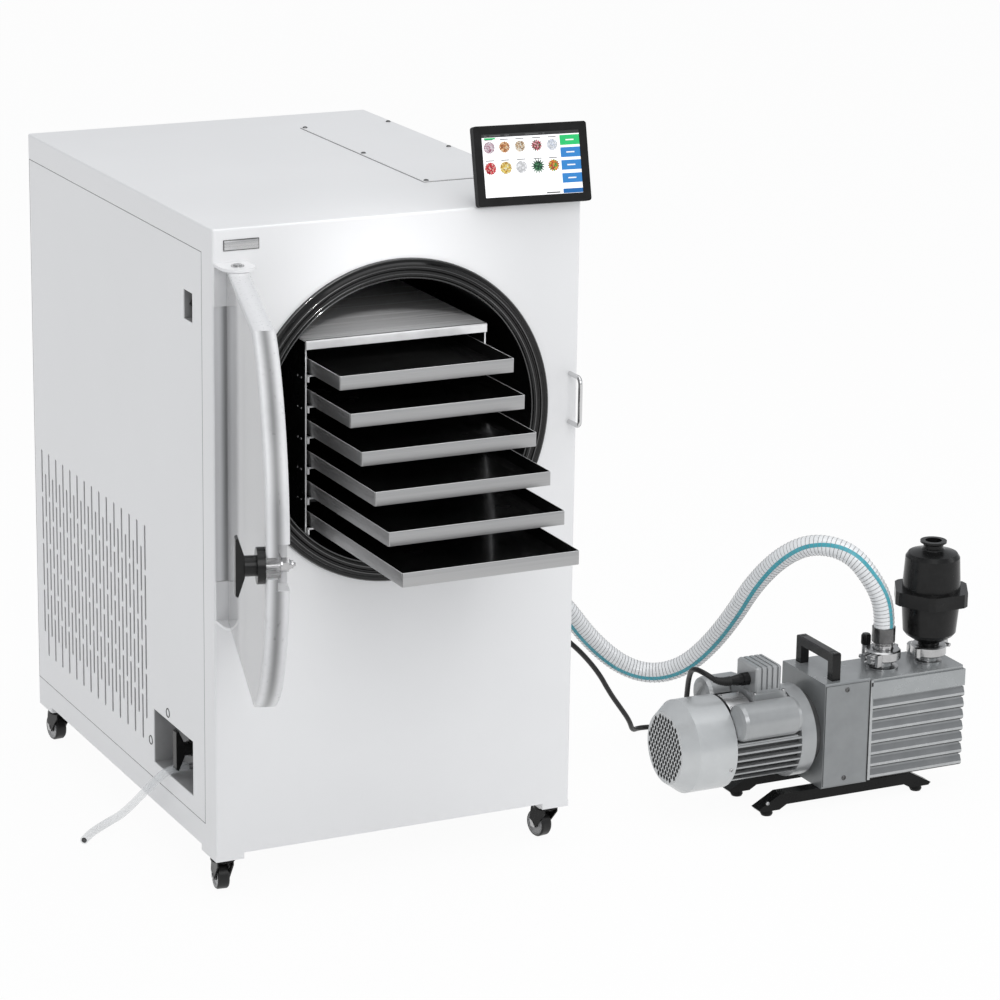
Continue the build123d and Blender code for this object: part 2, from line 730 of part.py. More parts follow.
def latch_bush():
    """Bush that fills the latch slot and carries the knob's stud."""
    stud = door_reach - latch_inset
    half = latch_slot / 2 - near
    front = 0.5 - door_thickness / 2
    bush = rod((stud - 6, front, -latch_drop), (0, 1, 0), half, door_thickness / 2 + 3.5)
    bush += box((stud - 6, stud + 10), (front, 4), (-latch_drop - half, -latch_drop + half))
    bush -= rod((stud, -door_thickness, -latch_drop), (0, 1, 0), stud_diameter / 2 + running_fit, 2 * door_thickness)
    return on_door(bush)


def door_knob():
    """Winged knob outside the door, its stud through the bush, and the washer and nut inside."""
    outside = door_thickness / 2 + near
    knob = Pos(0, -outside, 0) * Rot(0, 0, -90) * wing_knob(76, 13, 15, 23, 10, 11)
    bolt = rod((0, -outside - 8, 0), (0, 1, 0), stud_diameter / 2, outside + 8 + door_thickness / 2 + 5)
    bolt += rod((0, 4 + near, 0), (0, 1, 0), 9.5, 2.2)
    bolt += prism((0, 4 + near + 2.2, 0), (0, 1, 0), 6, 16, 8)
    bolt += turned((0, 4 + near + 10.2, 0), (0, 1, 0), [(0, 0), (7, 0), (4, 5), (2, 8.5), (0, 8.5)])
    return on_door(Pos(door_reach - latch_inset, 0, -latch_drop) * (knob + bolt))


def hinge_brackets():
    """Two angle brackets on the front face, each with its pin down or up into the door."""
    brackets = []
    half = door_height / 2
    for end in (-1, 1):
        level = half + 0.5
        tab = rod((hinge_side, hinge_y, door_z + end * level), (0, 0, end), hinge_tab_radius, hinge_tab)
        low, high = sorted((door_z + end * level, door_z + end * (level + hinge_tab)))
        tab += box((hinge_side - hinge_tab_radius, hinge_side + hinge_tab_radius), (hinge_y, 0), (low, high))
        inner = door_z + end * (level - hinge_leg)
        leg = sorted((inner, door_z + end * (level + hinge_tab)))
        tab += box((hinge_side - hinge_tab_radius, hinge_side + hinge_tab_radius), (-hinge_leg_thickness, 0), leg)
        start = door_z + end * (half - hinge_depth)
        tab += rod((hinge_side, hinge_y, start), (0, 0, end), hinge_pin / 2, hinge_depth + 0.5 + hinge_tab)
        tab += rod((hinge_side, hinge_y, door_z + end * (level + hinge_tab)), (0, 0, end), 9, 1.2)
        tab += rod((hinge_side, hinge_y, door_z + end * (level + hinge_tab + 1.2)), (0, 0, end), 5.5, 1.8)
        brackets.append(tab)
    return brackets


def door_keeper():
    """Bent wire loop that stands out of the front face beside the closed door."""
    low, high = base_z + keeper_low, base_z + keeper_high
    path = FilletPolyline((keeper_side, 0, low), (keeper_side, -keeper_reach, low),
                          (keeper_side, -keeper_reach, high), (keeper_side, 0, high), radius=keeper_bend)
    section = Plane(origin=path @ 0, z_dir=path % 0) * Circle(keeper_wire / 2)
    return sweep(section, path=path)


# ---- Touch screen ----------------------------------------------------------------------------
def on_screen(shape):
    """Tilt a piece that was made upright with its lower front edge at the origin."""
    return Pos(0, 0, top_z + screen_lift) * Rot(-screen_tilt, 0, 0) * shape


def beside_screen(shape):
    """Turn the screen's pieces towards the door and set them over the cabinet's front edge."""
    return Pos(screen_centre, -screen_overhang, 0) * Rot(0, 0, -screen_yaw) * shape


def screen_housing():
    """Tilted housing with a recessed front, on a wedge-shaped foot that stands on the cabinet."""
    half = screen_width / 2
    housing = box((-half, half), (0, screen_thickness), (0, screen_height))
    housing = fillet(housing.edges().filter_by(Axis.Y), 4)
    housing -= box((-half + screen_bezel, half - screen_bezel), (-1, glass_thickness + glass_recess),
                   (screen_bezel, screen_height - screen_bezel))
    behind = screen_thickness / cos(radians(screen_tilt)) - 1
    lean = tan(radians(screen_tilt))
    front, back = screen_overhang + 4, behind + stand_depth
    low, high = stand_depth / 10, stand_height
    outline = Polyline((front, top_z), (back, top_z), (back, top_z + 3),
                       (behind + (high - screen_lift) * lean + 16, top_z + high),
                       (behind + (high - screen_lift) * lean, top_z + high),
                       (behind + (low - screen_lift) * lean, top_z + low), close=True)
    foot = extrude(Plane.YZ * make_face(outline), stand_width / 2, both=True)
    return beside_screen(on_screen(housing) + foot)


def screen_glass():
    """Touch glass in the housing's recess."""
    half = screen_width / 2 - screen_bezel - near
    glass = box((-half, half), (glass_recess, glass_recess + glass_thickness),
                (screen_bezel + near, screen_height - screen_bezel - near))
    return beside_screen(on_screen(glass))


# ---- Refrigeration and electrics -------------------------------------------------------------
def compressor():
    """Hermetic compressor: a domed can on a foot plate with rubber feet."""
    r, h = compressor_radius, compressor_height
    foot_top = pan_top + 14
    can = turned((compressor_x, compressor_y, foot_top), (0, 0, 1),
                 [(0, 0), (r - 12, 0), (r - 3, 6), (r, 20), (r, h * 0.45), (r + 4, h * 0.45), (r + 4, h * 0.45 + 5),
                  (r, h * 0.45 + 5), (r, h - 45), (r - 8, h - 22), (r - 26, h - 6), (r - 50, h), (0, h)])
    plate = box((compressor_x - r - 12, compressor_x + r + 12), (compressor_y - 50, compressor_y + 50),
                (foot_top - 4, foot_top))
    can += plate
    for dx in (-1, 1):
        for dy in (-1, 1):
            can += rod((compressor_x + dx * (r + 2), compressor_y + dy * 40, pan_top), (0, 0, 1), 7, 11)
    return can


def condenser():
    """Finned coil with its shroud ring and the spider that carries the fan's motor."""
    x = (condenser_left, condenser_left + condenser_width)
    y = (condenser_front, condenser_front + condenser_thickness)
    z = (pan_top, pan_top + condenser_height)
    coil = box(x, y, z)
    pitch = condenser_width / condenser_fins
    for index in range(condenser_fins):
        left = x[0] + (index + 0.3) * pitch
        coil -= box((left, left + pitch * 0.6), (y[0] - 1, y[0] + 14), (z[0] + 10, z[1] - 10))
    centre_x, centre_z = fan_centre()
    shroud = box(x, (y[1], y[1] + 40), z) - box((x[0] + 2, x[1] - 2), (y[1] - 1, y[1] + 38), (z[0] + 2, z[1] - 2))
    shroud -= rod((centre_x, y[1], centre_z), (0, 1, 0), fan_radius + 4, 42)
    spider = rod((centre_x, y[1], centre_z), (0, 1, 0), 20, 26)
    spider += rod((centre_x, y[1] + 26, centre_z), (0, 1, 0), 4, 20)
    return coil + shroud + spider


def condenser_fan():
    """Five pitched blades on a hub that turns on the motor's shaft."""
    centre_x, centre_z = fan_centre()
    start = condenser_front + condenser_thickness + 28
    hub = rod((0, 0, 0), (0, 1, 0), fan_hub, fan_depth)
    blade = box((fan_hub - 4, fan_radius), (-fan_sheet / 2, fan_sheet / 2), (-fan_chord / 2, fan_chord / 2))
    blade = fillet(blade.edges().filter_by(Axis.Y), fan_chord / 4.5)
    blade = Pos(0, fan_depth / 2, 0) * Rot(28, 0, 0) * blade
    for index in range(fan_blades):
        hub += Rot(0, index * 360 / fan_blades, 0) * blade
    hub -= rod((0, -1, 0), (0, 1, 0), 4 + running_fit, 19.5)
    return Pos(centre_x, start, centre_z) * hub


def refrigerant_lines():
    """Copper line from the compressor across to the condenser."""
    high = pan_top + 14 + compressor_height * 0.75
    side, back = condenser_left - 20, condenser_front + condenser_thickness / 2
    path = FilletPolyline((compressor_x + compressor_radius, compressor_y, high), (side, compressor_y, high),
                          (side, compressor_y, high - 60), (side, back, high - 60),
                          (condenser_left, back, high - 60), radius=12)
    section = Plane(origin=path @ 0, z_dir=path % 0) * Circle(5)
    return sweep(section, path=path)


def control_box():
    """Flat electronics box under the service cover, hung from the cabinet's top."""
    left = cover_left + cover_lap - control_width + 60
    front = cover_front + 60
    body = box((left, left + control_width), (front, front + control_depth),
               (top_z - sheet - control_height, top_z - sheet))
    hollow = box((left + 2, left + control_width - 2), (front + 2, front + control_depth - 2),
                 (top_z - sheet - control_height + 2, top_z))
    ears = box((left, left + control_width), (front - 12, front + control_depth + 12),
               (top_z - sheet - 2, top_z - sheet))
    return body + ears - hollow


# ---- Vacuum line -----------------------------------------------------------------------------
def kf_end(start, direction, length):
    """Pipe stub that ends in a KF25 flange, open along its bore."""
    flange = kf_flange / 2
    return turned(start, direction,
                  [(kf_bore / 2, 0), (kf_pipe / 2, 0), (kf_pipe / 2, length - 6), (flange, length - 3),
                   (flange, length), (kf_bore / 2, length)])


def kf_clamp(centre, direction, turn):
    """Hinged clamp ring with its ears, bolt and wing nut, centred on a joint of two flanges."""
    half = clamp_width / 2
    flange = kf_flange / 2
    neck = kf_pipe / 2 + 1.2
    ring = turned((0, 0, -half), (0, 0, 1),
                  [(neck, 0), (clamp_radius - 2, 0), (clamp_radius, 2), (clamp_radius, clamp_width - 2),
                   (clamp_radius - 2, clamp_width), (neck, clamp_width), (neck, clamp_width - 1.5),
                   (flange + near, half + 3.6), (flange + near, half - 3.6), (neck, 1.5)])
    ears = box((clamp_radius - 3, clamp_radius + 14), (-9, 9), (-6, 6))
    ears -= box((clamp_radius - 1, clamp_radius + 16), (-2, 2), (-8, 8))
    hinge = rod((-clamp_radius - 2, 0, -half + 1), (0, 0, 1), 5, clamp_width - 2)
    bolt = rod((clamp_radius + 8, -16, 0), (0, 1, 0), 3, 34)
    wing = box((clamp_radius + 3, clamp_radius + 13), (17, 22), (-9, 9))
    return Plane(origin=centre, z_dir=direction) * (Rot(0, 0, turn) * (ring + ears + hinge + bolt + wing))


def hose_adapter(start, direction):
    """Turned adapter from a KF25 flange to the hose, starting at the flange's face."""
    flange = kf_flange / 2
    outer = hose_diameter / 2
    end = kf_neck + spigot_length
    return turned(start, direction,
                  [(kf_bore / 2 - 1, 0), (flange, 0), (flange, 3), (kf_pipe / 2, 6), (kf_pipe / 2, kf_neck - 4),
                   (outer + 2.2, kf_neck - 2), (outer + 2.2, end), (kf_bore / 2 - 1, end)])


def vacuum_pipe():
    """Steel line from the chamber's head round to the KF25 port on the right side, with no bore."""
    x, y, z = line_start()
    side, low = cabinet_width - line_side, chamber_z - line_drop
    port_x, port_height_z = cabinet_width - sheet - near, vacuum_port[2]
    path = FilletPolyline((x, y, z), (x, y + line_back, z), (side, y + line_back, z), (side, y + line_back, low),
                          (side, port_y, low), (side, port_y, port_height_z), (port_x, port_y, port_height_z),
                          radius=19)
    section = Plane(origin=path @ 0, z_dir=path % 0) * Circle(line_diameter / 2)
    pipe = sweep(section, path=path)
    return pipe + kf_end((port_x, port_y, port_height_z), (1, 0, 0), sheet + near + port_stub)


def inlet_place():
    """Centre of the pump's inlet on top of the oil box."""
    return hose_route[-1][0], hose_route[-1][1], tank_top


def exhaust_place():
    """Centre of the pump's exhaust on top of the oil box."""
    return tank_left + exhaust_side, hose_route[-1][1] - 3, tank_top


def vacuum_fittings():
    """Two hose adapters and the three clamp rings that hold the KF joints."""
    x, y, z = inlet_place()
    port_face = cabinet_width + port_stub
    inlet_face = z + inlet_stub
    exhaust = exhaust_place()
    adapters = [hose_adapter((port_face, port_y, vacuum_port[2]), (1, 0, 0)),
                hose_adapter((x, y, inlet_face), (0, 0, 1))]
    clamps = [kf_clamp((port_face, port_y, vacuum_port[2]), (1, 0, 0), 90),
              kf_clamp((x, y, inlet_face), (0, 0, 1), 200),
              kf_clamp((exhaust[0], exhaust[1], exhaust[2] + exhaust_stub), (0, 0, 1), 25)]
    return adapters + clamps


# ---- Pump motor ------------------------------------------------------------------------------
def fan_cover():
    """Bevelled fan cover with a perforated end."""
    r, w = motor_radius, cover_wall
    cover = turned((motor_left, pump_y, motor_axis), (1, 0, 0),
                   [(0, 0), (grille_radius, 0), (r, cover_bevel), (r, cover_length), (r - w, cover_length),
                    (r - w, cover_bevel + 0.6), (grille_radius - 0.7, w), (0, w)])
    holes = []
    rows = int((grille_radius - 4) / (grille_pitch * 0.866))
    for row in range(-rows, rows + 1):
        for step in range(-8, 9):
            y = (step + 0.5 * (row % 2)) * grille_pitch
            z = row * grille_pitch * 0.866
            if hypot(y, z) < grille_radius - 5:
                hole = Plane(origin=(motor_left - 1, pump_y + y, motor_axis + z), z_dir=(1, 0, 0))
                holes.append(hole * extrude(RegularPolygon(grille_hole, 4), w + 2))
    return cover - holes


def motor_fan():
    """Radial cooling fan on the tail of the motor's shaft."""
    start = motor_left + 16
    fan = rod((start, pump_y, motor_axis), (1, 0, 0), shaft_diameter / 2, cover_length - 16 + 10)
    fan += rod((start, pump_y, motor_axis), (1, 0, 0), 18, 20)
    for index in range(6):
        blade = box((0, 20), (14, 50), (-1.2, 1.2))
        fan += Pos(start, pump_y, motor_axis) * Rot(index * 60, 0, 0) * blade
    return fan


def motor_housing():
    """Finned motor barrel with its end shield, its mounting flange and the terminal box's pad."""
    start = motor_right - 20
    flange_end = coupling_left - neck_length
    centre = (pump_y, motor_axis)
    barrel = rod((start, *centre), (1, 0, 0), barrel_core, flange_end - start)
    barrel += rod((start + 4, *centre), (1, 0, 0), motor_radius - cover_wall - near, 15)
    barrel += rod((flange_end, *centre), (1, 0, 0), neck_radius, neck_length)
    envelope = rod((motor_right, *centre), (1, 0, 0), fin_radius, flange_end - barrel_rim - motor_right)
    first = motor_axis - (barrel_fins - 1) / 2 * barrel_fin_pitch
    for index in range(barrel_fins):
        z = first + index * barrel_fin_pitch
        fin = box((motor_right, flange_end - barrel_rim), (pump_y - motor_radius, pump_y + motor_radius),
                  (z - barrel_fin / 2, z + barrel_fin / 2))
        barrel += fin & envelope
    barrel += rod((flange_end - barrel_rim, *centre), (1, 0, 0), motor_radius - 1, barrel_rim)
    pad = terminal_pad()
    barrel += box(pad[0], pad[1], (motor_axis + 40, pad[2]))
    return barrel - rod((start - 1, *centre), (1, 0, 0), shaft_diameter / 2 + running_fit, 33)


def terminal_pad():
    """Seat of the terminal box: X range, Y range and height."""
    middle = motor_right + terminal_place
    x = (middle - terminal_length / 2, middle + terminal_length / 2)
    return x, (pump_y - terminal_width / 2, pump_y + terminal_width / 2), motor_axis + motor_radius


def capacitor_covers():
    """Two domed covers that hug the barrel, one on each shoulder."""
    covers = []
    for side, (out, rise, radius, left, length) in ((-1, front_cap), (1, rear_cap)):
        x = motor_right + left
        cover = turned((x, pump_y + side * out, motor_axis + rise), (1, 0, 0),
                       [(0, 0), (radius - 8, 0), (radius - 2, 2.5), (radius, 8), (radius, length - 8),
                        (radius - 2, length - 2.5), (radius - 8, length), (0, length)])
        pad = terminal_pad()
        cover -= rod((x - 1, pump_y, motor_axis), (1, 0, 0), fin_radius + near, length + 2)
        cover -= box((pad[0][0] - 1, pad[0][1] + 1), (pad[1][0] - near, pad[1][1] + near),
                     (motor_axis, pad[2] + 60))
        covers.append(cover)
    return covers


def terminal_box():
    """Ribbed terminal box on the motor's top."""
    (left, right), (front, back), seat = terminal_pad()
    body = box((left + 6, right - 6), (front + 6, back - 6), (seat, seat + terminal_height))
    body = fillet(body.edges().filter_by(Axis.Z), 5)
    body = chamfer(body.faces().sort_by(Axis.Z)[-1].edges(), 3)
    for index in range(4):
        x = left + 14 + index * 9
        body -= box((x, x + 3), (front, front + 9), (seat + 10, seat + terminal_height + 1))
        body -= box((x, x + 3), (front, back), (seat + terminal_height - 1.5, seat + terminal_height + 1))
    flange = box((left, right), (front, back), (seat, seat + 6))
    return body + fillet(flange.edges().filter_by(Axis.Z), 4)


def cord_gland(start, direction, length, radius):
    """Cable gland with a hexagonal nut and a domed cap round the cord."""
    gland = prism(start, direction, 8, 2 * radius, length * 0.35)
    cap = turned(start, direction, [(0, 0), (radius - 1, 0), (radius - 1, length * 0.6), (radius - 3.5, length),
                                    (0, length)])
    return gland + cap


def cord_glands():
    """Gland on the terminal box, gland on the cabinet's right side, and the mains inlet at the back."""
    left = terminal_pad()[0][0]
    end_x, end_y, end_z = cord_route[0]
    pump_gland = cord_gland((left + 6, end_y, end_z), (-1, 0, 0), left + 6 - end_x, 9.5)
    far_x, far_y, far_z = cord_route[-1]
    cabinet_gland = cord_gland((cabinet_width, far_y, far_z), (1, 0, 0), far_x - cabinet_width, 9.5)
    cabinet_gland += rod((cabinet_width, far_y, far_z), (-1, 0, 0), 8, 12)
    x, y, z = mains_cutout(0)
    inlet = box(x, y, z) + box((x[0] - 8, x[1] + 8), (cabinet_depth, cabinet_depth + 2), (z[0] - 3, z[1] + 3))
    inlet -= box((x[0] + 2.5, x[1] - 2.5), (cabinet_depth - 14, cabinet_depth + 3), (z[0] + 2.5, z[1] - 2.5))
    return [pump_gland, cabinet_gland, inlet]


# ---- Pump body -------------------------------------------------------------------------------
def coupling_housing():
    """Cast housing of the shaft coupling, with its flat front cover."""
    y = (pump_y - coupling_width / 2, pump_y + coupling_width / 2)
    z = (coupling_bottom, coupling_top)
    body = box((coupling_left, tank_left), y, z)
    body = fillet(body.edges().filter_by(Axis.X), 3)
    lip = box((coupling_left + 1.5, tank_left - 4), (y[0] - 2, y[0]), (z[0] + 4, z[1] - 4))
    return body + fillet(lip.edges().filter_by(Axis.Y), 2)


def pump_handle():
    """Square-section carrying handle across the coupling housing."""
    x = coupling_left + handle_offset
    front = pump_y - handle_span / 2
    outer = box((x - handle_bar / 2, x + handle_bar / 2), (front, front + handle_span),
                (coupling_top, coupling_top + handle_height))
    outer = fillet(outer.edges().filter_by(Axis.X).sort_by(Axis.Z)[-2:], 3)
    gap = box((x - handle_bar, x + handle_bar), (front + handle_bar, front + handle_span - handle_bar),
              (coupling_top - 1, coupling_top + handle_height - handle_bar))
    return outer - gap


def oil_box():
    """Ribbed oil box with its top rim, the KF inlet, the exhaust stub and the filler cap."""
    front, back = tank_front, tank_front + tank_width
    x = (tank_left, tank_left + tank_length)
    z = (tank_top - tank_height, tank_top)
    d = tank_rib_depth
    body = box(x, (front + d, back - d), z)
    body = fillet(body.edges().filter_by(Axis.Z).sort_by(Axis.X)[-2:], 6)
    body += box((x[0], x[0] + 6), (front, back), z)
    body += box((x[0] + 6, x[1]), (front, back), (z[1] - 30, z[1] - 4))
    pitch = (tank_height - 30) / tank_ribs
    for index in range(tank_ribs):
        low = z[0] + index * pitch
        profile = make_face(Polyline((front + d, low), (front, low + 3), (front, low + 7),
                                     (front + d, low + pitch - 3), (back - d, low + pitch - 3), (back, low + 7),
                                     (back, low + 3), (back - d, low), close=True))
        body += Pos(x[0] + 6, 0, 0) * extrude(Plane.YZ * profile, tank_length - 6)
    px, py, pz = inlet_place()
    body += turned((px, py, pz), (0, 0, 1),
                   [(0, 0), (24, 0), (24, 3), (kf_pipe / 2, 5), (kf_pipe / 2, inlet_stub - 6),
                    (kf_flange / 2, inlet_stub - 3), (kf_flange / 2, inlet_stub), (0, inlet_stub)])
    body -= rod((px, py, pz - 10), (0, 0, 1), kf_bore / 2, inlet_stub + 11)
    ex, ey, ez = exhaust_place()
    body += turned((ex, ey, ez), (0, 0, 1),
                   [(0, 0), (kf_flange / 2 + 1, 0), (kf_flange / 2 + 1, 3), (kf_pipe / 2, 4),
                    (kf_pipe / 2, exhaust_stub - 6), (kf_flange / 2, exhaust_stub - 3),
                    (kf_flange / 2, exhaust_stub), (0, exhaust_stub)])
    body += turned((ex, ey + 40, ez), (0, 0, 1), [(0, 0), (10, 0), (10, 4), (11, 4), (11, 15), (9, 17), (0, 17)])
    body += rod(ballast_place(), (0, 0, 1), 6, ballast_stem)
    return body


def ballast_place():
    """Foot of the gas ballast valve, behind the inlet."""
    x, y, z = inlet_place()
    return x - 8, y + 36, z


def gas_ballast_knob():
    """Small black knob on the gas ballast valve's stem."""
    x, y, z = ballast_place()
    r = ballast_radius
    knob = turned((x, y, z + ballast_stem + near), (0, 0, 1),
                  [(0, 0), (r - 1, 0), (r, 2), (r, 14), (r - 2, 17), (0, 17)])
    for index in range(8):
        angle = radians(index * 45)
        knob -= rod((x + (r + 1) * cos(angle), y + (r + 1) * sin(angle), z), (0, 0, 1), 1.8, 2 * ballast_stem)
    return knob


def mist_filter():
    """Moulded exhaust filter: a KF foot, two tapered cups joined at a hexagonal band, and its neck."""
    x, y, z = exhaust_place()
    start = z + exhaust_stub
    r, top = filter_radius, filter_height
    band_low, band_height = filter_band
    body = turned((x, y, start), (0, 0, 1),
                  [(0, 0), (20, 0), (20, 3), (15, 6), (15, 11), (24, 16), (r - 8, 24), (r - 4, 29), (r, band_low),
                   (r, band_low + band_height), (r - 3, top - 25), (r - 7, top - 19), (18, top - 14),
                   (15, top - 11), (15, top - 6), (20, top - 3), (20, top), (12.5, top), (12.5, top - 31),
                   (0, top - 31)])
    band = prism((x, y, start + band_low), (0, 0, 1), 6, 2 * filter_across, band_height)
    band = chamfer(band.edges().filter_by(Axis.Z), 6)
    return body + band


def foot_places():
    """Centres of the rubber feet: the left one and the right one of each skid."""
    ends = (coupling_left - skid_left + foot_inset, coupling_left + skid_right - foot_inset)
    return [(x, pump_y + side * skid_spread / 2) for side in (-1, 1) for x in ends]


def pump_skids():
    """Two bent steel channels under the pump, each with two rubber feet."""
    pieces = []
    left, right, top = coupling_left - skid_left, coupling_left + skid_right, coupling_bottom
    low = top - skid_web
    for side in (-1, 1):
        y = pump_y + side * skid_spread / 2
        outline = make_face(Polyline((left, foot_height + 4), (left + 4, foot_height), (left + skid_slope, foot_height),
                                     (left + skid_slope + 12, low), (right - skid_slope - 12, low),
                                     (right - skid_slope, foot_height), (right - 4, foot_height),
                                     (right, foot_height + 4), (right - skid_slope, top), (left + skid_slope, top),
                                     close=True))
        skid = Pos(0, y, 0) * extrude(Plane.XZ * outline, skid_width / 2, both=True)
        half = skid_width / 2 - skid_wall
        skid -= box((left + skid_slope + 12, right - skid_slope - 12), (y - half, y + half), (low - 1, top - skid_wall))
        pieces.append(skid)
    for x, y in foot_places():
        pieces.append(turned((x, y, 0), (0, 0, 1), [(0, 0), (foot_radius - 1.5, 0), (foot_radius, 3),
                                                    (foot_radius - 1, foot_height), (0, foot_height)]))
    return pieces


# ---- Cords -----------------------------------------------------------------------------------
def vacuum_hose():
    """Hose from the cabinet's port to the pump's inlet."""
    return tube_along(hose_route, hose_tube, "vacuum_hose")


def power_cord():
    """Cord from the pump's terminal box to the cabinet."""
    return tube_along(cord_route, cord_tube, "power_cord")


def drain_tube():
    """Drain tube from the valve's nipple to its cut end on the floor."""
    return tube_along(drain_route, drain_tube_diameter, "drain_tube")


# ---- Assembly --------------------------------------------------------------------------------
def all_pieces():
    """Every node's shape by its name."""
    pieces = {function.__name__: function() for function in (
        cabinet_shell, left_side_panel, right_side_panel, rear_panel, top_cover, base_frame, castor_mounts,
        side_pockets, power_rocker, drain_valve, drain_knob, drain_tube, chamber_drum, door_gasket,
        insulation_jacket, compressor, condenser, condenser_fan, refrigerant_lines, control_box, vacuum_pipe,
        door_keeper, hinge_brackets, rack_frame, rack_top_plate, heated_shelves, screen_housing, screen_glass,
        door_slab, latch_bush, door_knob, motor_housing, fan_cover, motor_fan, capacitor_covers, terminal_box,
        cord_glands, coupling_housing, pump_handle, oil_box, gas_ballast_knob, mist_filter, pump_skids,
        vacuum_fittings, vacuum_hose, power_cord)}
    for index in range(tray_count):
        pieces[f"tray_{index + 1}"] = tray(index)
    for index, place in enumerate(castor_places()):
        pieces[f"castor_fork_{index + 1}"] = castor_fork(place, castor_turns[index])
        pieces[f"castor_wheel_{index + 1}"] = castor_wheel(place, castor_turns[index])
    return pieces


def main():
    """Make every piece, centre the whole on its base and write one STEP file for each node."""
    pieces = {}
    for name, shape in all_pieces().items():
        pieces[name] = Compound(children=list(shape)) if isinstance(shape, list) else shape
    cords = ("vacuum_hose", "power_cord", "drain_tube")
    boxes = [shape.bounding_box() for name, shape in pieces.items() if name not in cords]
    middle_x = (min(b.min.X for b in boxes) + max(b.max.X for b in boxes)) / 2
    middle_y = (min(b.min.Y for b in boxes) + max(b.max.Y for b in boxes)) / 2
    lowest = min(b.min.Z for b in boxes)
    print(f"origin moved to {middle_x:.3f}, {middle_y:.3f}, {lowest:.3f}")
    os.makedirs("parts", exist_ok=True)
    for name, shape in pieces.items():
        export_step(Pos(-middle_x, -middle_y, -lowest) * shape, f"parts/{name}.step")


if __name__ == "__main__":
    main()
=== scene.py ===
import bpy, json
from math import sin, cos, pi, radians, hypot
from mathutils import Matrix, Vector, noise


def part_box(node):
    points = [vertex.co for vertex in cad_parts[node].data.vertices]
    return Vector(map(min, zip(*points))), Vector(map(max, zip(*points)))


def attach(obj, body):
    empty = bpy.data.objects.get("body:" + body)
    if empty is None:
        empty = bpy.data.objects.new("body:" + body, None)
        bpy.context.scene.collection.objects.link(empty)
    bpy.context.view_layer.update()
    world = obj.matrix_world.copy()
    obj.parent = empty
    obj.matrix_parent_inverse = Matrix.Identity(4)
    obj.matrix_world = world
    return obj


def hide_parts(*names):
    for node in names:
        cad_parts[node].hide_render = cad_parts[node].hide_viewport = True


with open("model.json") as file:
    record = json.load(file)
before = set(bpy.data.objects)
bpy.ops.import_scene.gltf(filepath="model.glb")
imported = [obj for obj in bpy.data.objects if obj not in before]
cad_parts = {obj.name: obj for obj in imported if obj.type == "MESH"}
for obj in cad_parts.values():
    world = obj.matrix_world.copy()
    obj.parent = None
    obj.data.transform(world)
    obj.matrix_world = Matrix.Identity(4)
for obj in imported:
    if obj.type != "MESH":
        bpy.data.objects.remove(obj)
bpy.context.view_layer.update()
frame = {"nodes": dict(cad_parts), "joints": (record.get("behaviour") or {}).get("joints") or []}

nodes = frame["nodes"]
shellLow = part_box("cabinet_shell")[0]
floorGap = 0.066    # underside of the cabinet above the floor


# ---- Places ----
def here(x, y, z):    # millimetres from the cabinet's front left edge and the floor
    return Vector((shellLow.x + x / 1000, shellLow.y + y / 1000, shellLow.z - floorGap + z / 1000))


def middle(node):
    low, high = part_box(node)
    return (low + high) / 2


# ---- Small modelling steps ----
def putDown():
    if bpy.context.mode != "OBJECT":
        bpy.ops.object.mode_set(mode="OBJECT")
    bpy.ops.object.select_all(action="DESELECT")


def pick(piece):
    putDown()
    piece.select_set(True)
    bpy.context.view_layer.objects.active = piece


def settle(piece):    # its place goes into its mesh
    pick(piece)
    bpy.ops.object.transform_apply(location=True, rotation=True, scale=True)
    return piece


def applyAll(piece):
    pick(piece)
    for modifier in list(piece.modifiers):
        bpy.ops.object.modifier_apply(modifier=modifier.name)
    return piece


def roundOff(piece, width, segments=2, angle=30):
    bevel = piece.modifiers.new("Round edges", "BEVEL")
    bevel.width = width / 1000
    bevel.segments = segments
    bevel.limit_method = "ANGLE"
    bevel.angle_limit = radians(angle)
    applyAll(piece)
    bpy.ops.object.shade_smooth_by_angle(angle=radians(40))
    return piece


def thickened(piece, thickness):
    modifier = piece.modifiers.new("Thickness", "SOLIDIFY")
    modifier.thickness = thickness / 1000
    return applyAll(piece)


def startBox(name, x, y, z):
    putDown()
    low, high = here(x[0], y[0], z[0]), here(x[1], y[1], z[1])
    bpy.ops.mesh.primitive_cube_add(size=1, location=(low + high) / 2, scale=high - low)
    piece = bpy.context.object
    piece.name = name
    return settle(piece)


def turnOut(name, centre, axis, rings, sides=40):
    # a disc drawn out ring by ring, each given as radius and distance in millimetres
    putDown()
    axis = Vector(axis).normalized()
    facing = axis.to_track_quat("Z", "Y").to_euler()
    radius, along = rings[0]
    start = centre + axis * along / 1000
    bpy.ops.mesh.primitive_circle_add(vertices=sides, radius=radius / 1000, fill_type="NGON",
                                      location=start, rotation=facing)
    piece = bpy.context.object
    piece.name = name
    settle(piece)
    bpy.ops.object.mode_set(mode="EDIT")
    bpy.ops.mesh.select_all(action="SELECT")
    for nextRadius, nextAlong in rings[1:]:
        bpy.ops.mesh.extrude_region_move(TRANSFORM_OT_translate={"value": axis * (nextAlong - along) / 1000})
        ratio = nextRadius / radius
        bpy.ops.transform.resize(value=(ratio, ratio, ratio), center_override=centre + axis * nextAlong / 1000)
        radius, along = nextRadius, nextAlong
    bpy.ops.mesh.select_all(action="SELECT")
    bpy.ops.mesh.normals_make_consistent(inside=False)
    bpy.ops.object.mode_set(mode="OBJECT")
    bpy.ops.object.shade_smooth_by_angle(angle=radians(35))
    return piece


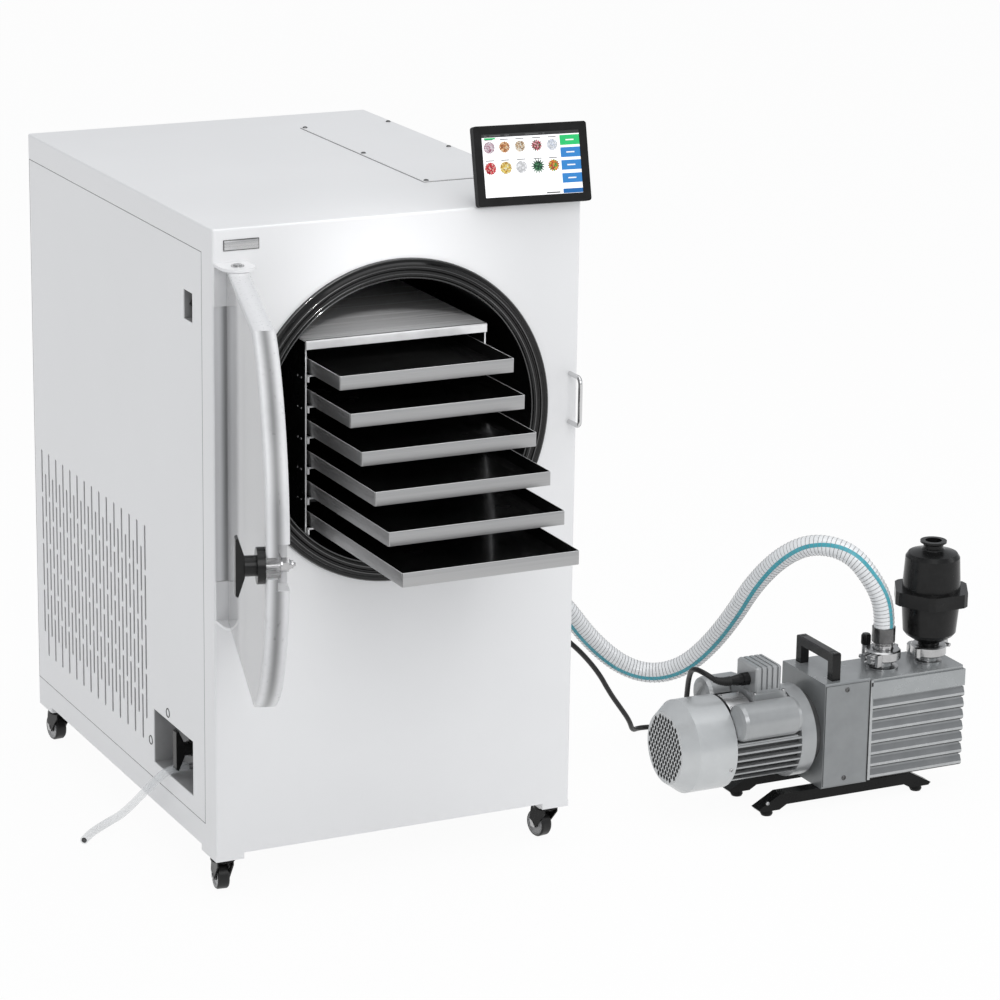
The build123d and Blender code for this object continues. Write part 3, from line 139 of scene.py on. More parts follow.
def joinAll(name, parts):
    putDown()
    for part in parts:
        part.select_set(True)
    bpy.context.view_layer.objects.active = parts[0]
    if len(parts) > 1:
        bpy.ops.object.join()
    parts[0].name = name
    return parts[0]


def wear(piece, finish, body="cabinet"):
    piece.data.materials.clear()
    piece.data.materials.append(finish)
    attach(piece, body)
    return piece


def softened(node, width, name, segments=2, angle=32):
    # a merged copy of the CAD piece with its edges rounded over
    pick(nodes[node])
    bpy.ops.object.duplicate(linked=False)
    piece = bpy.context.object
    piece.name = name
    for key in list(piece.keys()):
        del piece[key]
    piece.parent = None
    bpy.ops.object.mode_set(mode="EDIT")
    bpy.ops.mesh.select_all(action="SELECT")
    bpy.ops.mesh.remove_doubles(threshold=0.00001)
    bpy.ops.mesh.dissolve_limited(angle_limit=radians(1))
    bpy.ops.object.mode_set(mode="OBJECT")
    roundOff(piece, width, segments, angle)
    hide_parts(node)
    return piece


# ---- Finishes ----
def newFinish(name):
    finish = bpy.data.materials.new(name)
    finish.use_nodes = True
    tree = finish.node_tree
    coords = tree.nodes.new("ShaderNodeTexCoord")
    return finish, tree, tree.nodes["Principled BSDF"], coords.outputs["Object"]


def noiseAt(tree, source, scale, stretch=(1, 1, 1), detail=4, roughness=0.55):
    mapping = tree.nodes.new("ShaderNodeMapping")
    mapping.inputs["Scale"].default_value = stretch
    tree.links.new(source, mapping.inputs["Vector"])
    grain = tree.nodes.new("ShaderNodeTexNoise")
    grain.inputs["Scale"].default_value = scale
    grain.inputs["Detail"].default_value = detail
    grain.inputs["Roughness"].default_value = roughness
    tree.links.new(mapping.outputs["Vector"], grain.inputs["Vector"])
    return grain.outputs["Fac"]


def colourBetween(tree, factor, darker, lighter):
    ramp = tree.nodes.new("ShaderNodeValToRGB")
    ramp.color_ramp.elements[0].position = 0.3
    ramp.color_ramp.elements[1].position = 0.7
    ramp.color_ramp.elements[0].color = (*darker, 1)
    ramp.color_ramp.elements[1].color = (*lighter, 1)
    tree.links.new(factor, ramp.inputs["Fac"])
    return ramp.outputs["Color"]


def rampOf(tree, factor, stops, blend):    # the first two stops are the ramp's own
    ramp = tree.nodes.new("ShaderNodeValToRGB")
    ramp.color_ramp.interpolation = blend
    for index, (position, colour) in enumerate(stops):
        stop = ramp.color_ramp.elements[index] if index < 2 else ramp.color_ramp.elements.new(position)
        stop.position = position
        stop.color = (*colour, 1)
    tree.links.new(factor, ramp.inputs["Fac"])
    return ramp.outputs["Color"]


def multiplied(tree, first, second, share):
    mix = tree.nodes.new("ShaderNodeMix")
    mix.data_type = "RGBA"
    mix.blend_type = "MULTIPLY"
    mix.inputs["Factor"].default_value = share
    tree.links.new(first, mix.inputs["A"])
    tree.links.new(second, mix.inputs["B"])
    return mix.outputs["Result"]


def rangeBetween(tree, factor, low, high):
    span = tree.nodes.new("ShaderNodeMapRange")
    span.inputs["From Min"].default_value = 0.25
    span.inputs["From Max"].default_value = 0.75
    span.inputs["To Min"].default_value = low
    span.inputs["To Max"].default_value = high
    tree.links.new(factor, span.inputs["Value"])
    return span.outputs["Result"]


def raiseBy(tree, shader, height, strength, distance):
    bump = tree.nodes.new("ShaderNodeBump")
    bump.inputs["Strength"].default_value = strength
    bump.inputs["Distance"].default_value = distance
    tree.links.new(height, bump.inputs["Height"])
    tree.links.new(bump.outputs["Normal"], shader.inputs["Normal"])


def finishFrom(name, v):
    # v: colours (darker, lighter), scale and stretch of the mottle, roughness range, grain and its height
    finish, tree, shader, place = newFinish(name)
    mottle = noiseAt(tree, place, v["scale"], v.get("stretch", (1, 1, 1)), v.get("detail", 4))
    tree.links.new(colourBetween(tree, mottle, *v["colours"]), shader.inputs["Base Color"])
    tree.links.new(rangeBetween(tree, mottle, *v["rough"]), shader.inputs["Roughness"])
    grain = noiseAt(tree, place, v["grain"], v.get("grainStretch", v.get("stretch", (1, 1, 1))), 3)
    raiseBy(tree, shader, grain, v["height"], v.get("depth", 0.0004))
    shader.inputs["Metallic"].default_value = v.get("metal", 0)
    shader.inputs["IOR"].default_value = v.get("ior", 1.5)
    shader.inputs["Specular IOR Level"].default_value = v.get("spec", 0.5)
    shader.inputs["Coat Weight"].default_value = v.get("coat", 0)
    shader.inputs["Coat Roughness"].default_value = v.get("coatRough", 0.1)
    shader.inputs["Transmission Weight"].default_value = v.get("clear", 0)
    shader.inputs["Alpha"].default_value = v.get("alpha", 1)
    return finish


def bandedFinish(name, way, span, stops, streak=(6, 6, 0.4), v=None):
    # colour bands across a piece: way is the direction, span its two ends on it, stops are (share, grey)
    v = v or {}
    finish, tree, shader, place = newFinish(name)
    along = tree.nodes.new("ShaderNodeVectorMath")
    along.operation = "DOT_PRODUCT"
    along.inputs[1].default_value = way
    tree.links.new(place, along.inputs[0])
    share = tree.nodes.new("ShaderNodeMapRange")
    share.inputs["From Min"].default_value = span[0]
    share.inputs["From Max"].default_value = span[1]
    tree.links.new(along.outputs["Value"], share.inputs["Value"])
    bands = rampOf(tree, share.outputs["Result"], [(at, (level, level, level * 1.01)) for at, level in stops], "EASE")
    grain = noiseAt(tree, place, v.get("scale", 30), streak, 3)
    cloud = multiplied(tree, bands, colourBetween(tree, grain, grey(0.8), grey(1.0)), v.get("cloud", 0.35))
    tree.links.new(cloud, shader.inputs["Base Color"])
    tree.links.new(rangeBetween(tree, grain, *v.get("rough", (0.08, 0.16))), shader.inputs["Roughness"])
    raiseBy(tree, shader, grain, v.get("height", 0.02), 0.0004)
    shader.inputs["Metallic"].default_value = v.get("metal", 0)
    shader.inputs["Coat Weight"].default_value = v.get("coat", 0.5)
    shader.inputs["Coat Roughness"].default_value = v.get("coatRough", 0.06)
    shader.inputs["Transmission Weight"].default_value = v.get("clear", 0.1)
    return finish


def grey(level):
    return (level, level, level * 1.005)


finishValues = {
    "whitePaint": dict(colours=(grey(0.83), grey(0.86)), scale=3, rough=(0.30, 0.38), grain=900, height=0.05,
                       coat=0.25, coatRough=0.22),
    "pocketZinc": dict(colours=(grey(0.36), grey(0.42)), scale=40, rough=(0.3, 0.42), grain=600, height=0.05,
                       metal=0.2),
    "motorGrey": dict(colours=((0.36, 0.37, 0.375), (0.41, 0.42, 0.425)), scale=30, rough=(0.28, 0.36), grain=1300,
                      height=0.12, metal=0.4, coat=0.2),
    "fanGrey": dict(colours=((0.55, 0.565, 0.57), (0.60, 0.615, 0.62)), scale=30, rough=(0.28, 0.36), grain=1300,
                    height=0.10, metal=0.4, coat=0.2),
    "castGrey": dict(colours=((0.245, 0.255, 0.26), (0.285, 0.295, 0.30)), scale=30, rough=(0.28, 0.38), grain=1300,
                     height=0.08, depth=0.0002, metal=0.3),
    "castTopPaintedLight": dict(colours=((0.33, 0.345, 0.35), (0.38, 0.395, 0.40)), scale=30, rough=(0.2, 0.3), grain=1300,
                    height=0.12, metal=0.4, coat=0.3),
    "ribPaintedHighlight": dict(colours=((0.42, 0.43, 0.435), (0.5, 0.51, 0.515)), scale=60, rough=(0.2, 0.3), grain=900,
                    height=0.1, metal=0.4, coat=0.2),
    # painted shade: undersides of the ribs, gaps on the motor, a fold, a groove and a bore
    "paintedShadeDark": dict(colours=(grey(0.05), grey(0.08)), scale=40, rough=(0.45, 0.6), grain=700, height=0.12),
    "primerGrey": dict(colours=(grey(0.4), grey(0.46)), scale=20, rough=(0.45, 0.6), grain=500, height=0.1),
    "blackMoulding": dict(colours=(grey(0.007), grey(0.012)), scale=60, rough=(0.2, 0.28), grain=1800, height=0.05,
                          spec=0.24),
    "bezelBlack": dict(colours=(grey(0.010), grey(0.016)), scale=60, rough=(0.4, 0.5), grain=1800, height=0.05,
                       spec=0.12),
    "blackRubber": dict(colours=(grey(0.007), grey(0.012)), scale=25, rough=(0.32, 0.44), grain=1200, height=0.08,
                        spec=0.35),
    "gasketRubber": dict(colours=(grey(0.004), grey(0.007)), scale=12, rough=(0.12, 0.17), grain=600, height=0.03,
                         spec=0.34),
    "seamShade": dict(colours=(grey(0.03), grey(0.05)), scale=12, rough=(0.6, 0.7), grain=600, height=0.03, spec=0.1),
    "blackPaint": dict(colours=(grey(0.005), grey(0.009)), scale=25, rough=(0.22, 0.34), grain=1500, height=0.08,
                       spec=0.16),
    # painted shade: the deep stainless drum set near-black
    "chamberPaintedShade": dict(colours=(grey(0.005), grey(0.010)), scale=8, rough=(0.25, 0.36), grain=500, height=0.04,
                         spec=0.6),
    "brushedAcross": dict(colours=(grey(0.56), grey(0.68)), scale=60, stretch=(0.04, 4, 8), rough=(0.24, 0.34),
                          grain=220, height=0.05, metal=1),
    # near-white: painted sheen standing for the stainless top plate's reflection
    "satinPlatePaintedSheen": dict(colours=(grey(0.94), grey(0.98)), scale=30, stretch=(0.06, 3, 3), rough=(0.22, 0.3),
                       grain=200, height=0.04, coat=0.5),
    "satinFront": dict(colours=(grey(0.41), grey(0.46)), scale=60, stretch=(0.04, 4, 8), rough=(0.34, 0.44),
                       grain=220, height=0.08, metal=0.8),
    # light steel: the rail hooks' own bright steel, and a painted highlight on tray rims, rack front edges and the
    # top plate's lip
    "brightSteelAndPaintedHighlight": dict(colours=(grey(0.82), grey(0.9)), scale=60, rough=(0.16, 0.24), grain=300, height=0.04,
                       metal=0.3),
    "darkSteel": dict(colours=(grey(0.10), grey(0.17)), scale=80, rough=(0.2, 0.3), grain=500, height=0.1,
                      metal=0.9),
    "hubGrey": dict(colours=(grey(0.4), grey(0.48)), scale=80, rough=(0.3, 0.4), grain=500, height=0.06),
    "badgeSilver": dict(colours=(grey(0.50), grey(0.60)), scale=60, stretch=(0.05, 4, 6), rough=(0.24, 0.34),
                        grain=300, height=0.05, metal=0.8),
    "polishedSteel": dict(colours=(grey(0.6), grey(0.68)), scale=12, rough=(0.12, 0.2), grain=80, height=0.02,
                          metal=1),
    "turnedSteel": dict(colours=(grey(0.42), grey(0.52)), scale=50, rough=(0.16, 0.28), grain=400, height=0.05,
                        metal=1),
    "galvanised": dict(colours=(grey(0.42), grey(0.55)), scale=45, rough=(0.3, 0.45), grain=200, height=0.08,
                       metal=0.9),
    "copperPipe": dict(colours=((0.55, 0.22, 0.12), (0.72, 0.34, 0.2)), scale=30, rough=(0.22, 0.34), grain=300,
                       height=0.05, metal=1),
    "foam": dict(colours=(grey(0.015), grey(0.035)), scale=90, rough=(0.8, 0.95), grain=400, height=0.5),
    # painted shade: the steel inside of the trays, near-black
    "trayInsidePaintedShade": dict(colours=(grey(0.006), grey(0.014)), scale=9, rough=(0.16, 0.3), grain=250, height=0.05,
                      coat=0.25, coatRough=0.12),
    "clearAcrylic": dict(colours=(grey(0.54), grey(0.58)), scale=30, stretch=(3, 3, 0.12), rough=(0.05, 0.08),
                         grain=40, height=0.01, ior=1.45, clear=0.62, coat=0.3),
    "clearBush": dict(colours=(grey(0.86), grey(0.94)), scale=30, rough=(0.04, 0.1), grain=40, height=0.01,
                      ior=1.3, clear=0.85),
    "gasketGloss": dict(colours=(grey(0.006), grey(0.010)), scale=12, rough=(0.05, 0.1), grain=200, height=0.01,
                        spec=1.0, coat=0.6),
    "hoseWall": dict(colours=((0.84, 0.86, 0.87), (0.9, 0.91, 0.92)), scale=20, rough=(0.12, 0.2), grain=120,
                     height=0.04, coat=0.4),
    "clearTube": dict(colours=((0.72, 0.74, 0.76), (0.86, 0.88, 0.89)), scale=20, rough=(0.08, 0.16), grain=120,
                      height=0.04, coat=0.5, alpha=0.34),
    "hoseWire": dict(colours=(grey(0.26), grey(0.34)), scale=50, rough=(0.3, 0.4), grain=400, height=0.02),
    # near-black sheet: painted shade in vents and holes
    "holeShadeSheet": dict(colours=(grey(0.006), grey(0.014)), scale=500, rough=(0.7, 0.9), grain=900, height=0.4),
    "screenGlass": dict(colours=(grey(0.02), grey(0.03)), scale=10, rough=(0.05, 0.09), grain=20, height=0.005),
    "cordBlack": dict(colours=(grey(0.006), grey(0.010)), scale=80, rough=(0.34, 0.44), grain=900, height=0.1,
                      spec=0.35),
}
finishes = {name: finishFrom(name, values) for name, values in finishValues.items()}
print("finishes made")

nodeFinish = {
    "whitePaint": ["cabinet_shell", "left_side_panel", "right_side_panel", "rear_panel", "top_cover",
                   "hinge_brackets", "castor_mounts"],
    "pocketZinc": ["side_pockets"],
    "primerGrey": ["base_frame"],
    "galvanised": ["control_box", "condenser"],
    "motorGrey": ["motor_housing", "capacitor_covers", "terminal_box"],
    "fanGrey": ["fan_cover"],
    "castGrey": ["coupling_housing", "oil_box"],
    "blackMoulding": ["drain_knob", "condenser_fan", "door_knob", "motor_fan", "cord_glands",
                      "pump_handle", "gas_ballast_knob", "mist_filter", "power_rocker"],
    "gasketRubber": ["door_gasket"],
    "blackRubber": ["castor_wheel_1", "castor_wheel_2", "castor_wheel_3", "castor_wheel_4"],
    "blackPaint": ["rack_frame", "heated_shelves", "compressor", "pump_skids", "castor_fork_1", "castor_fork_2",
                   "castor_fork_3", "castor_fork_4"],
    "chamberPaintedShade": ["chamber_drum"],
    "foam": ["insulation_jacket"],
    "copperPipe": ["refrigerant_lines"],
    "polishedSteel": ["door_keeper"],
    "satinPlatePaintedSheen": ["rack_top_plate"],
    "turnedSteel": ["vacuum_fittings", "drain_valve", "vacuum_pipe"],
    "clearAcrylic": ["door_slab"],
    "clearBush": ["latch_bush"],
    "screenGlass": ["screen_glass"],
    "bezelBlack": ["screen_housing"],
    "brushedAcross": ["tray_1", "tray_2", "tray_3", "tray_4", "tray_5", "tray_6"],
}
for finishName, members in nodeFinish.items():
    for node in members:
        nodes[node].data.materials.clear()
        nodes[node].data.materials.append(finishes[finishName])
        pick(nodes[node])
        bpy.ops.object.shade_smooth_by_angle(angle=radians(30))
print("CAD pieces finished")

# ---- Hose, cord and drain tube ----
cordRoutes = {
    "hose": [(606, 350, 293), (642, 350, 293), (684, 350, 275), (722, 350, 232), (764, 348, 176),
             (812, 336, 132), (854, 313, 118), (892, 282, 134), (920, 250, 176), (938, 212, 232),
             (952, 172, 298), (974, 126, 352), (1002, 84, 379), (1040, 42, 372), (1068, 17, 328),
             (1084, 10.5, 288), (1084, 10.5, 258)],
    "powerCord": [(826, 20, 204), (807, 20, 204), (789, 30, 218), (782, 55, 220), (790, 80, 197),
                  (800, 102, 164), (808, 120, 122), (816, 142, 82), (828, 170, 46), (846, 204, 20),
                  (868, 242, 7), (888, 282, 4.6), (902, 320, 4.6), (910, 352, 4.6), (899, 378, 4.6),
                  (872, 383, 4.6), (852, 366, 9), (838, 350, 32), (818, 342, 58), (794, 333, 88),
                  (762, 319, 136), (711, 302, 190), (664, 300, 226), (620, 300, 246), (590, 300, 250),
                  (566, 300, 250)],
    "drainTube": [(26, 172, 138), (-2, 172, 138), (-18, 184, 120), (-23, 216, 92), (-26, 256, 60),
                  (-31, 294, 30), (-41, 317, 13), (-62, 311, 7), (-80, 295, 7), (-95, 276, 7)],
}


def curveAlong(name, route, diameter):
    data = bpy.data.curves.new(name, "CURVE")
    data.dimensions = "3D"
    spline = data.splines.new("NURBS")
    spline.points.add(len(route) - 1)
    for point, place in zip(spline.points, route):
        point.co = (*here(*place), 1)
        point.radius = diameter / 2000
    spline.order_u = 3
    spline.use_endpoint_u = True
    spline.resolution_u = 12
    data.bevel_depth = 1
    data.bevel_resolution = 6
    data.use_fill_caps = True
    piece = bpy.data.objects.new(name, data)
    bpy.context.scene.collection.objects.link(piece)
    return piece


def lineOf(curve):    # points of the curve's own line
    depth = curve.data.bevel_depth
    curve.data.bevel_depth = 0
    bpy.context.view_layer.update()
    graph = bpy.context.evaluated_depsgraph_get()
    mesh = bpy.data.meshes.new_from_object(curve.evaluated_get(graph))
    points = [v.co.copy() for v in mesh.vertices]
    curve.data.bevel_depth = depth
    bpy.data.meshes.remove(mesh)
    return points


def lengthOf(points):
    return sum((b - a).length for a, b in zip(points, points[1:]))


def twistAt(steps, share):    # steps: (share of the length, degrees)
    for (low, first), (high, last) in zip(steps, steps[1:]):
        if share <= high:
            return first + (last - first) * (share - low) / (high - low)
    return steps[-1][1]


def acrossLine(points, twist):
    # for each point of a line: its place, its direction, and two directions across it
    facing = Vector((-0.43, -0.86, 0.28)).normalized()    # the twist is counted from this side of the line
    stations = []
    for index, place in enumerate(points):
        before, after = points[max(index - 1, 0)], points[min(index + 1, len(points) - 1)]
        along = (after - before).normalized()
        outward = (facing - along * facing.dot(along)).normalized()
        side = along.cross(outward)
        angle = radians(twistAt(twist, index / (len(points) - 1)))
        stations.append((place, along, outward * cos(angle) + side * sin(angle),
                         side * cos(angle) - outward * sin(angle)))
    return stations


def evenly(points, count):
    total = lengthOf(points)
    result, walked, target, index = [], 0.0, 0.0, 0
    for step in range(count):
        target = total * step / (count - 1)
        while index < len(points) - 2 and walked + (points[index + 1] - points[index]).length < target:
            walked += (points[index + 1] - points[index]).length
            index += 1
        piece = (points[index + 1] - points[index])
        share = min(max((target - walked) / max(piece.length, 1e-9), 0), 1)
        result.append(points[index] + piece * share)
    return result


def meshFrom(name, rows, closed):
    # rows of points joined into a skin; closed rows make a tube
    vertices = [tuple(point) for row in rows for point in row]
    width = len(rows[0])
    faces = []
    for r in range(len(rows) - 1):
        for c in range(width if closed else width - 1):
            d = (c + 1) % width
            faces.append((r * width + c, r * width + d, (r + 1) * width + d, (r + 1) * width + c))
    if closed:
        faces.append(tuple(range(width - 1, -1, -1)))
        faces.append(tuple((len(rows) - 1) * width + c for c in range(width)))
    mesh = bpy.data.meshes.new(name)
    mesh.from_pydata(vertices, [], faces)
    mesh.update()
    piece = bpy.data.objects.new(name, mesh)
    bpy.context.scene.collection.objects.link(piece)
    pick(piece)
    bpy.ops.object.shade_smooth_by_angle(angle=radians(50))
    return piece


def sleeveOn(name, line, length, radii, finish, body):
    # a ribbed, tapering sleeve over the first stretch of a cord's line
    steps = int(length * 2)
    whole = evenly(line, int(lengthOf(line) * 2000))
    rows = []
    for index, (place, along, outward, side) in enumerate(acrossLine(whole[:steps + 1], ((0, 0), (1, 0)))):
        radius = radii[0] + (radii[1] - radii[0]) * index / steps + (0.35 if index % 6 < 3 else 0)
        rows.append([place + (outward * cos(2 * pi * k / 28) + side * sin(2 * pi * k / 28)) * radius / 1000
                     for k in range(28)])
    return wear(meshFrom(name, rows, True), finish, body)


hose = curveAlong("hoseWall", cordRoutes["hose"], 31)
powerCord = curveAlong("powerCord", cordRoutes["powerCord"], 8)
drainTube = curveAlong("drainTube", cordRoutes["drainTube"], 12.4)
wear(hose, finishes["hoseWall"], "cabinet")
wear(powerCord, finishes["cordBlack"], "cabinet")
wear(drainTube, finishes["clearTube"], "cabinet")
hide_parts("vacuum_hose")
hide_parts("power_cord")
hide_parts("drain_tube")
lengthOf(lineOf(hose))
cordLine = lineOf(powerCord)
pumpSleeve = sleeveOn("cordSleevePump", cordLine, 26, (7.2, 4.5), finishes["cordBlack"], "cabinet")
cabinetSleeve = sleeveOn("cordSleeveCabinet", cordLine[::-1], 28, (7.2, 4.5), finishes["cordBlack"], "cabinet")
lengthOf(lineOf(drainTube))
print("hose, cord and drain tube laid")


# On the hose: the ridge of its wire spiral and a coloured stripe
hoseValues = dict(pitch=6.0, spiralRadius=15.4, wire=0.5, stripeRadius=15.66, stripeWidth=6.4,
                  twist=((0, 42), (0.3, 40), (0.45, 26), (0.62, 18), (0.8, 0), (0.92, -30), (1, -42)),
                  teal=((0.055, 0.36, 0.44), (0.09, 0.43, 0.51)))
hoseLine = lineOf(hose)
hoseLength = lengthOf(hoseLine)
turns = int(hoseLength * 1000 / hoseValues["pitch"])
stepsPerTurn = 32
stations = acrossLine(evenly(hoseLine, turns * stepsPerTurn + 1), ((0, 0), (1, 0)))
wireRows = []
for index, (place, along, outward, side) in enumerate(stations):
    angle = 2 * pi * index / stepsPerTurn
    reach = outward * cos(angle) + side * sin(angle)
    centre = place + reach * hoseValues["spiralRadius"] / 1000
    w = hoseValues["wire"] / 1000
    wireRows.append([centre + reach * w, centre + along * w, centre - reach * w, centre - along * w])
spiral = meshFrom("hoseSpiral", wireRows, True)
wear(spiral, finishes["hoseWire"], "cabinet")
stations = acrossLine(evenly(hoseLine, 220), hoseValues["twist"])
stripeRows = []
for place, along, outward, side in stations:
    row = []
    for step in (-1, -0.5, 0, 0.5, 1):
        angle = step * hoseValues["stripeWidth"] / 2 / hoseValues["stripeRadius"]
        row.append(place + (outward * cos(angle) + side * sin(angle)) * hoseValues["stripeRadius"] / 1000)
    stripeRows.append(row)
stripe = meshFrom("hoseStripe", stripeRows, False)
finishes["tealStripe"] = finishFrom("tealStripe", dict(colours=hoseValues["teal"], scale=60, rough=(0.3, 0.4),
                                                       grain=300, height=0.05))
wear(stripe, finishes["tealStripe"], "cabinet")
print("hose spiral and stripe made")


# ---- Second finishes on parts of CAD pieces ----
def alsoFinish(piece, finishName, chosen):
    # faces whose centre and normal pass the test take another finish
    mesh = piece.data
    if finishes[finishName].name not in [m.name for m in mesh.materials]:
        mesh.materials.append(finishes[finishName])
    slotIndex = [m.name for m in mesh.materials].index(finishes[finishName].name)
    for face in mesh.polygons:
        if chosen(face.center, face.normal):
            face.material_index = slotIndex


def back(point):    # millimetres from the cabinet's front left edge and the floor
    return (Vector(point) - Vector((shellLow.x, shellLow.y, shellLow.z - floorGap))) * 1000


# Trays: bright folded steel; their insides are near-black as painted shade and their top rims carry a painted
# highlight
for number in range(1, 7):
    node = "tray_%d" % number
    tray = softened(node, 0.35, "steelTray%d" % number)
    wear(tray, finishes["satinFront"], "tray_slide_%d" % number)
    low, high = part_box(node)
    edge, rim = 0.0007, 0.0003

    def insideTray(c, n):
        return (low.x + edge < c.x < high.x - edge and low.y + edge < c.y < high.y - edge
                and low.z + 0.0006 < c.z < high.z - rim)
    alsoFinish(tray, "trayInsidePaintedShade", insideTray)
    alsoFinish(tray, "brightSteelAndPaintedHighlight", lambda c, n: n.z > 0.35 and c.z > high.z - 0.0005)

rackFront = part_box("rack_frame")[0].y
# the rack's front edges and the top plate's lip: painted highlight
alsoFinish(nodes["rack_frame"], "brightSteelAndPaintedHighlight", lambda c, n: n.y < -0.9 and c.y < rackFront + 0.004)
alsoFinish(nodes["rack_top_plate"], "brightSteelAndPaintedHighlight", lambda c, n: n.y < -0.3)
motorY, motorZ, barrel = 25, 112, 70.2    # the motor's axis and the radius of its barrel
motorLine = here(0, motorY, motorZ)
# the motor's neck next to the coupling: painted shade in the gap
alsoFinish(nodes["motor_housing"], "paintedShadeDark", lambda c, n: back(c).x > 941.2
           and hypot(c.y - motorLine.y, c.z - motorLine.z) < 0.058)
# the barrel between the fins: painted shade
alsoFinish(nodes["motor_housing"], "paintedShadeDark", lambda c, n: 806 < back(c).x < 915
           and hypot(c.y - motorLine.y, c.z - motorLine.z) < 0.0595)

# Door: cast acrylic with clear faces; across its thickness the rim carries painted light and shade, light near the
# faces and darker in its core
swing = radians(106.8)
doorOut = Vector((-sin(swing), -cos(swing), 0))
across = [vertex.co.dot(doorOut) for vertex in nodes["door_slab"].data.vertices]
rimSheen = dict(coat=0.12, coatRough=0.3, rough=(0.26, 0.34), clear=0.05)
finishes["doorRimPaintedLight"] = bandedFinish("doorRimPaintedLight", doorOut, (max(across), min(across)), (
    (0, 0.70), (1, 0.70), (0.14, 0.76), (0.5, 0.24), (0.86, 0.76)), (5, 5, 0.5), rimSheen)
# the door's top edge: a lighter band, painted highlight
finishes["doorTopPaintedLight"] = bandedFinish("doorTopPaintedLight", doorOut, (max(across), min(across)), (
    (0, 0.76), (1, 0.76), (0.5, 0.88)), (9, 9, 0.3), rimSheen)
alsoFinish(nodes["door_slab"], "doorRimPaintedLight", lambda c, n: abs(n.dot(doorOut)) < 0.985)
alsoFinish(nodes["door_slab"], "doorTopPaintedLight", lambda c, n: n.z > 0.93)
# hinge strip: light at its left edge and darker to the right, painted highlight and painted shade
finishes["hingeLeafPaintedLight"] = bandedFinish("hingeLeafPaintedLight", (1, 0, 0), (here(-1, 0, 0).x, here(22.4, 0, 0).x), (
    (0, 0.80), (1, 0.34), (0.35, 0.88), (0.8, 0.32)), (7, 7, 0.2), rimSheen)
wheelHubs = (0.0125, 0.0165)
for number, (x, y, turn) in enumerate(((22, 30, 83), (528, 30, 100), (22, 705, 95), (528, 705, 60)), 1):
    axle = here(x + 14 * cos(radians(turn)), y + 14 * sin(radians(turn)), 20)
    axleLine = Vector((-sin(radians(turn)), cos(radians(turn)), 0))

    def fromAxle(c):
        return ((c - axle) - axleLine * (c - axle).dot(axleLine)).length

    alsoFinish(nodes["castor_fork_%d" % number], "turnedSteel",
               lambda c, n: fromAxle(c) < 0.0065 and abs((c - axle).dot(axleLine)) > 0.011)
    alsoFinish(nodes["castor_wheel_%d" % number], "hubGrey",
               lambda c, n: fromAxle(c) < wheelHubs[1] and abs(n.dot(axleLine)) > 0.5)
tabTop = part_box("hinge_brackets")[1].z
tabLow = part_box("hinge_brackets")[0].z
alsoFinish(nodes["hinge_brackets"], "turnedSteel", lambda c, n: c.z > tabTop - 0.0029 or c.z < tabLow + 0.0029)
knobJoint = [joint for joint in frame["joints"] if joint["name"] == "door_knob_turn"][0]
knobPlace, knobAxis = Vector(knobJoint["pos_m"]), Vector(knobJoint["axis"])


def onStud(c, n):
    along = (c - knobPlace).dot(knobAxis)
    across = ((c - knobPlace) - knobAxis * along).length
    return along < -0.003 or across < 0.0053


alsoFinish(nodes["door_knob"], "turnedSteel", onStud)
plateLow = shellLow.z - 0.0092
alsoFinish(nodes["castor_mounts"], "galvanised", lambda c, n: c.z < plateLow)
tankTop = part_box("coupling_housing")[1].z - 0.004
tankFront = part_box("oil_box")[0].y
alsoFinish(nodes["oil_box"], "turnedSteel", lambda c, n: c.z > tankTop + 0.0005)
# the tank's top and the band above its ribs: a lighter copy of the cast grey, painted light
alsoFinish(nodes["oil_box"], "castTopPaintedLight", lambda c, n: n.z > 0.9 and abs(c.z - tankTop) < 0.0005)
alsoFinish(nodes["oil_box"], "castTopPaintedLight", lambda c, n: n.y < -0.9 and c.z > tankTop - 0.0305)
# the ribs' flat ridges: painted highlight
alsoFinish(nodes["oil_box"], "ribPaintedHighlight", lambda c, n: n.y < -0.95 and c.y < tankFront + 0.0004
           and c.z < tankTop - 0.031)
# under the ribs: painted shade
alsoFinish(nodes["oil_box"], "paintedShadeDark", lambda c, n: n.z < -0.4 and c.y < tankFront + 0.0036)
# the rib slopes: a darker copy of the cast grey, painted shade
finishes["ribSlopePaintedShade"] = finishFrom("ribSlopePaintedShade", dict(finishValues["castGrey"], colours=((0.19, 0.197, 0.202),
                                                                                     (0.225, 0.232, 0.237))))
alsoFinish(nodes["oil_box"], "ribSlopePaintedShade", lambda c, n: 0.2 < n.z < 0.7 and n.y < -0.6)
# the coupling's upward faces: painted light
alsoFinish(nodes["coupling_housing"], "castTopPaintedLight", lambda c, n: n.z > 0.5)
alsoFinish(nodes["vacuum_fittings"], "darkSteel", lambda c, n: 216 + 14 < back(c).z and back(c).x < 1104
           and back(c).x > 1000)
print("second finishes set")

# ---- Screen picture ----
screenValues = dict(x=468.4, y=-22, z=959, tilt=15, yaw=5.5, glass=0.6)


def onScreen(u, v, out):    # across from the middle, up from the lower edge, out of the glass
    tilt, yaw = radians(screenValues["tilt"]), radians(screenValues["yaw"])
    w = screenValues["glass"] - out
    deep = w * cos(tilt) + v * sin(tilt)
    return here(screenValues["x"] + u * cos(yaw) + deep * sin(yaw),
                screenValues["y"] - u * sin(yaw) + deep * cos(yaw),
                screenValues["z"] - w * sin(tilt) + v * cos(tilt))


